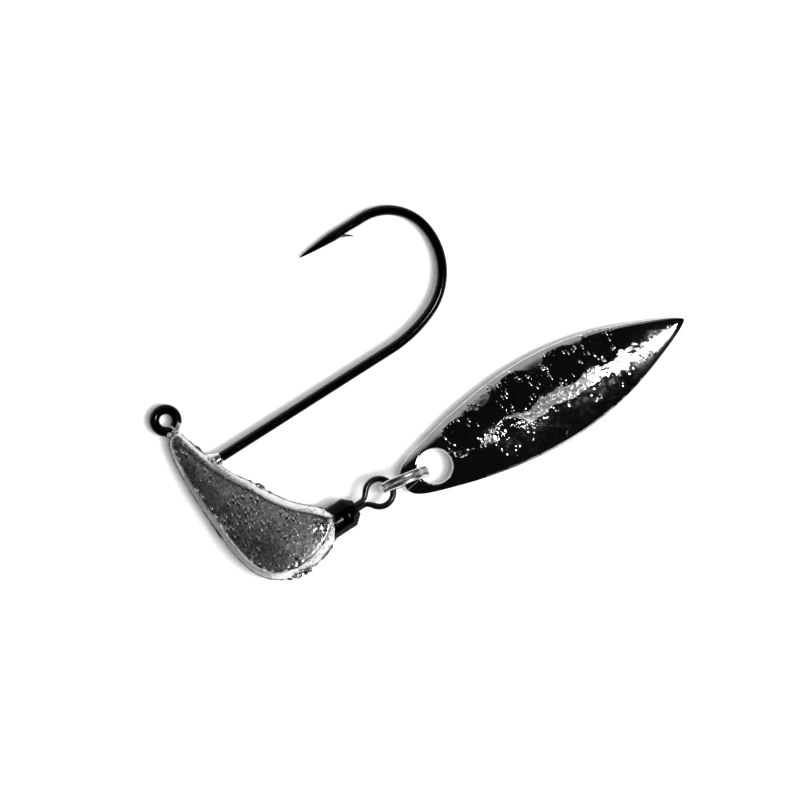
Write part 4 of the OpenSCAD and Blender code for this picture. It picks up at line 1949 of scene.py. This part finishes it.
    def build(self, hammer: Recipe, finish: bpy.types.Material) -> bpy.types.Object:
        """Builds the blade.

        Args:
            hammer: The hammer marks recipe.
            finish: The blade's material.

        Returns:
            The blade in millimetres.
        """
        blade = self.sheet()
        flat = points_of(blade)
        set_attribute(blade, "along", flat[:, 0])
        set_attribute(blade, "across", flat[:, 1])
        middles = np.array(self.MARKS)
        marks = mesh_object("marks", middles[:, :3] * (1, 1, 0), [])
        set_attribute(marks, "reach", middles[:, 2])
        set_attribute(marks, "depth", middles[:, 3])
        hammer.run(blade, Marks=marks, Lip=0.012, Material=finish)
        remove(marks)
        ring = self.places.ring
        yaw = self.places.ring_yaw
        reach = self.hole_reach
        middle = (ring[0] + reach * math.cos(yaw), ring[1] - reach * math.sin(yaw), self.lift)
        turn = Matrix.Rotation(-math.radians(self.yaw), 4, "Z")
        turn = turn @ Matrix.Rotation(math.radians(self.slope), 4, "Y")
        turn = turn @ Matrix.Rotation(math.radians(self.roll), 4, "X")
        mark_wear(blade)
        blade.data.transform(Matrix.Translation(middle) @ turn)
        return blade


# ------------------------------------------------------------------ the studio


@dataclass(frozen=True)
class Studio:
    """A pale table, a soft key light, a pale room and a camera straight above."""

    aim: tuple = (22.69, -11.81)
    wide: float = 86.96
    roll: float = -32.5
    camera_height: float = 0.35
    sensor: float = 36.0
    key_way: tuple = (0.736, -0.677)
    key_elevation: float = 62.8
    key_away: float = 0.6
    key_wide: float = 0.08
    key_long: float = 0.2
    key_power: float = 1.4
    soft_elevation: float = 66.0
    soft_wide: float = 0.48
    soft_power: float = 3.4
    floor_half: float = 2.5

    def floor(self) -> bpy.types.Object:
        """Builds the table top just under the lure.

        Returns:
            The table top.
        """
        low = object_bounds()[0][2]
        h = self.floor_half
        table = mesh_object("table_top", np.array([(-h, -h, low), (h, -h, low), (h, h, low), (-h, h, low)]),
                            [(0, 1, 2, 3)])
        material = bpy.data.materials.new("white card")
        material.use_nodes = True
        bench = Bench(material.node_tree)
        shader = material.node_tree.nodes["Principled BSDF"]
        shader.inputs["Roughness"].default_value = 0.9
        shader.inputs["Specular IOR Level"].default_value = 0.1
        at = bench.add("ShaderNodeTexCoord").outputs["Object"]
        fibre = bench.noise(at, 0.004, 3.0)
        bench.tree.links.new(bench.tint(fibre, grey(0.9), grey(0.93)), shader.inputs["Base Color"])
        table.data.materials.append(material)
        table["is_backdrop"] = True
        return table

    def lamp(self, name: str, elevation: float, long: float, wide: float, power: float) -> bpy.types.Object:
        """Hangs one soft lamp that faces the lure.

        Args:
            name: The lamp's name.
            elevation: Its height above the table in degrees.
            long: Its size along the blade.
            wide: Its size across the blade.
            power: Its power in watts.

        Returns:
            The lamp.
        """
        lamp = bpy.data.lights.new(name, "AREA")
        lamp.shape = "ELLIPSE"
        lamp.size = long
        lamp.size_y = wide
        lamp.energy = power
        obj = bpy.data.objects.new(name, lamp)
        bpy.context.scene.collection.objects.link(obj)
        up = math.radians(elevation)
        way = Vector((self.key_way[0] * math.cos(up), self.key_way[1] * math.cos(up), math.sin(up)))
        obj.location = Vector((self.aim[0] * MM, self.aim[1] * MM, 0)) + way * self.key_away
        across = way.cross(Vector((1, 0, 0))).normalized()
        along = across.cross(way)
        obj.rotation_euler = Matrix((along, across, way)).transposed().to_euler()
        return obj

    def lamps(self) -> None:
        """Hangs the key lamp, and a wider one that softens its shadows and that mirrors don't see."""
        self.lamp("key", self.key_elevation, self.key_long, self.key_wide, self.key_power)
        soft = self.lamp("soft", self.soft_elevation, self.soft_wide, self.soft_wide, self.soft_power)
        soft.visible_glossy = False

    def room(self) -> None:
        """Builds the room: pale to the eye; mirrors see a dark ceiling and one pale wall."""
        world = bpy.data.worlds.new("room")
        bpy.context.scene.world = world
        world.use_nodes = True
        world.node_tree.nodes.clear()
        bench = Bench(world.node_tree)
        way = bench.add("ShaderNodeTexCoord").outputs["Generated"]
        towards = bench.add("ShaderNodeSeparateXYZ", {0: way}).outputs[1]
        wall = bench.math("MULTIPLY_ADD", bench.smooth(towards, 0.52, 0.75), 0.42, 0.008)
        rays = bench.add("ShaderNodeLightPath").outputs
        seen = bench.between(rays["Is Camera Ray"], 0.3, 0.93)
        level = bench.between(rays["Is Glossy Ray"], seen, wall)
        light = bench.add("ShaderNodeBackground", {"Color": (1, 1, 1, 1), "Strength": level})
        bench.add("ShaderNodeOutputWorld", {"Surface": light.outputs[0]})

    def camera(self) -> None:
        """Places the camera straight above the lure."""
        lens = bpy.data.cameras.new("camera")
        lens.sensor_width = self.sensor
        lens.lens = self.sensor * self.camera_height / (self.wide * MM)
        lens.clip_start = 0.01
        lens.dof.use_dof = False
        obj = bpy.data.objects.new("camera", lens)
        bpy.context.scene.collection.objects.link(obj)
        obj.location = (self.aim[0] * MM, self.aim[1] * MM, self.camera_height)
        obj.rotation_euler = (0, 0, math.radians(self.roll))
        bpy.context.scene.camera = obj

    def build(self) -> None:
        """Builds the whole studio."""
        self.floor()
        self.lamps()
        self.room()
        self.camera()
        view = bpy.context.scene.view_settings
        view.view_transform = "Standard"
        view.look = "Medium High Contrast"


def main() -> None:
    """Builds every piece in order and reports it."""
    logging.basicConfig(level=logging.INFO, format="%(name)s: %(message)s")
    places = Places.from_frame(frame)
    fitter = Fitter(places)
    effects = Effects()
    wire = drawn_wire_recipe()
    lead = RawLead().build(effects)
    black_hook = BlackPlate("black nickel on hook wire").build(effects)
    sleeve_plate = BlackPlate("black nickel on brass", black=0.006, haze=0.28, lacquer=0.35)
    black_sleeve = sleeve_plate.build(effects)
    black_eye = BlackPlate("black nickel on eye wire", black=0.035, gloss=0.3, haze=0.42).build(effects)
    ring_plate = BrightPlate("bright nickel on flat wire", bright=0.9, gloss=0.22, haze=0.4).build(effects)
    blade_plate = HammeredPlate("hammered bright nickel", gloss=0.03, haze=0.07).build(effects)

    swivel = Swivel(places)
    head = LeadHead(places)
    socket = swivel.socket()
    fitter.fit(head.build(cast_skin_recipe(), socket, lead), Body.LURE, "cast_lead", "jig_head")
    remove(socket)
    fitter.fit(head.flash(wire, lead), Body.LURE, "cast_lead")
    fitter.fit(JigHook().build(wire, black_hook), Body.LURE, "hook_steel", "hook")
    fitter.fit(swivel.sleeve(black_sleeve), Body.LURE, "swivel_black", "swivel_barrel")
    fixed = swivel.eye("fixed_eye", wire, black_eye, front=True)
    fitter.fit(fixed, Body.LURE, "swivel_wire", "swivel_front_eye")
    free = swivel.eye("free_eye", wire, black_eye, front=False)
    fitter.fit(free, Body.SWIVEL_EYE, "swivel_wire", "swivel_rear_eye")
    fitter.fit(SplitRing(places).build(wire, ring_plate), Body.RING, "ring_steel", "split_ring")
    fitter.fit(WillowBlade(places).build(hammer_recipe(), blade_plate), Body.BLADE, "blade_nickel", "blade")
    Studio().build()


if __name__ == "__main__":
    main()
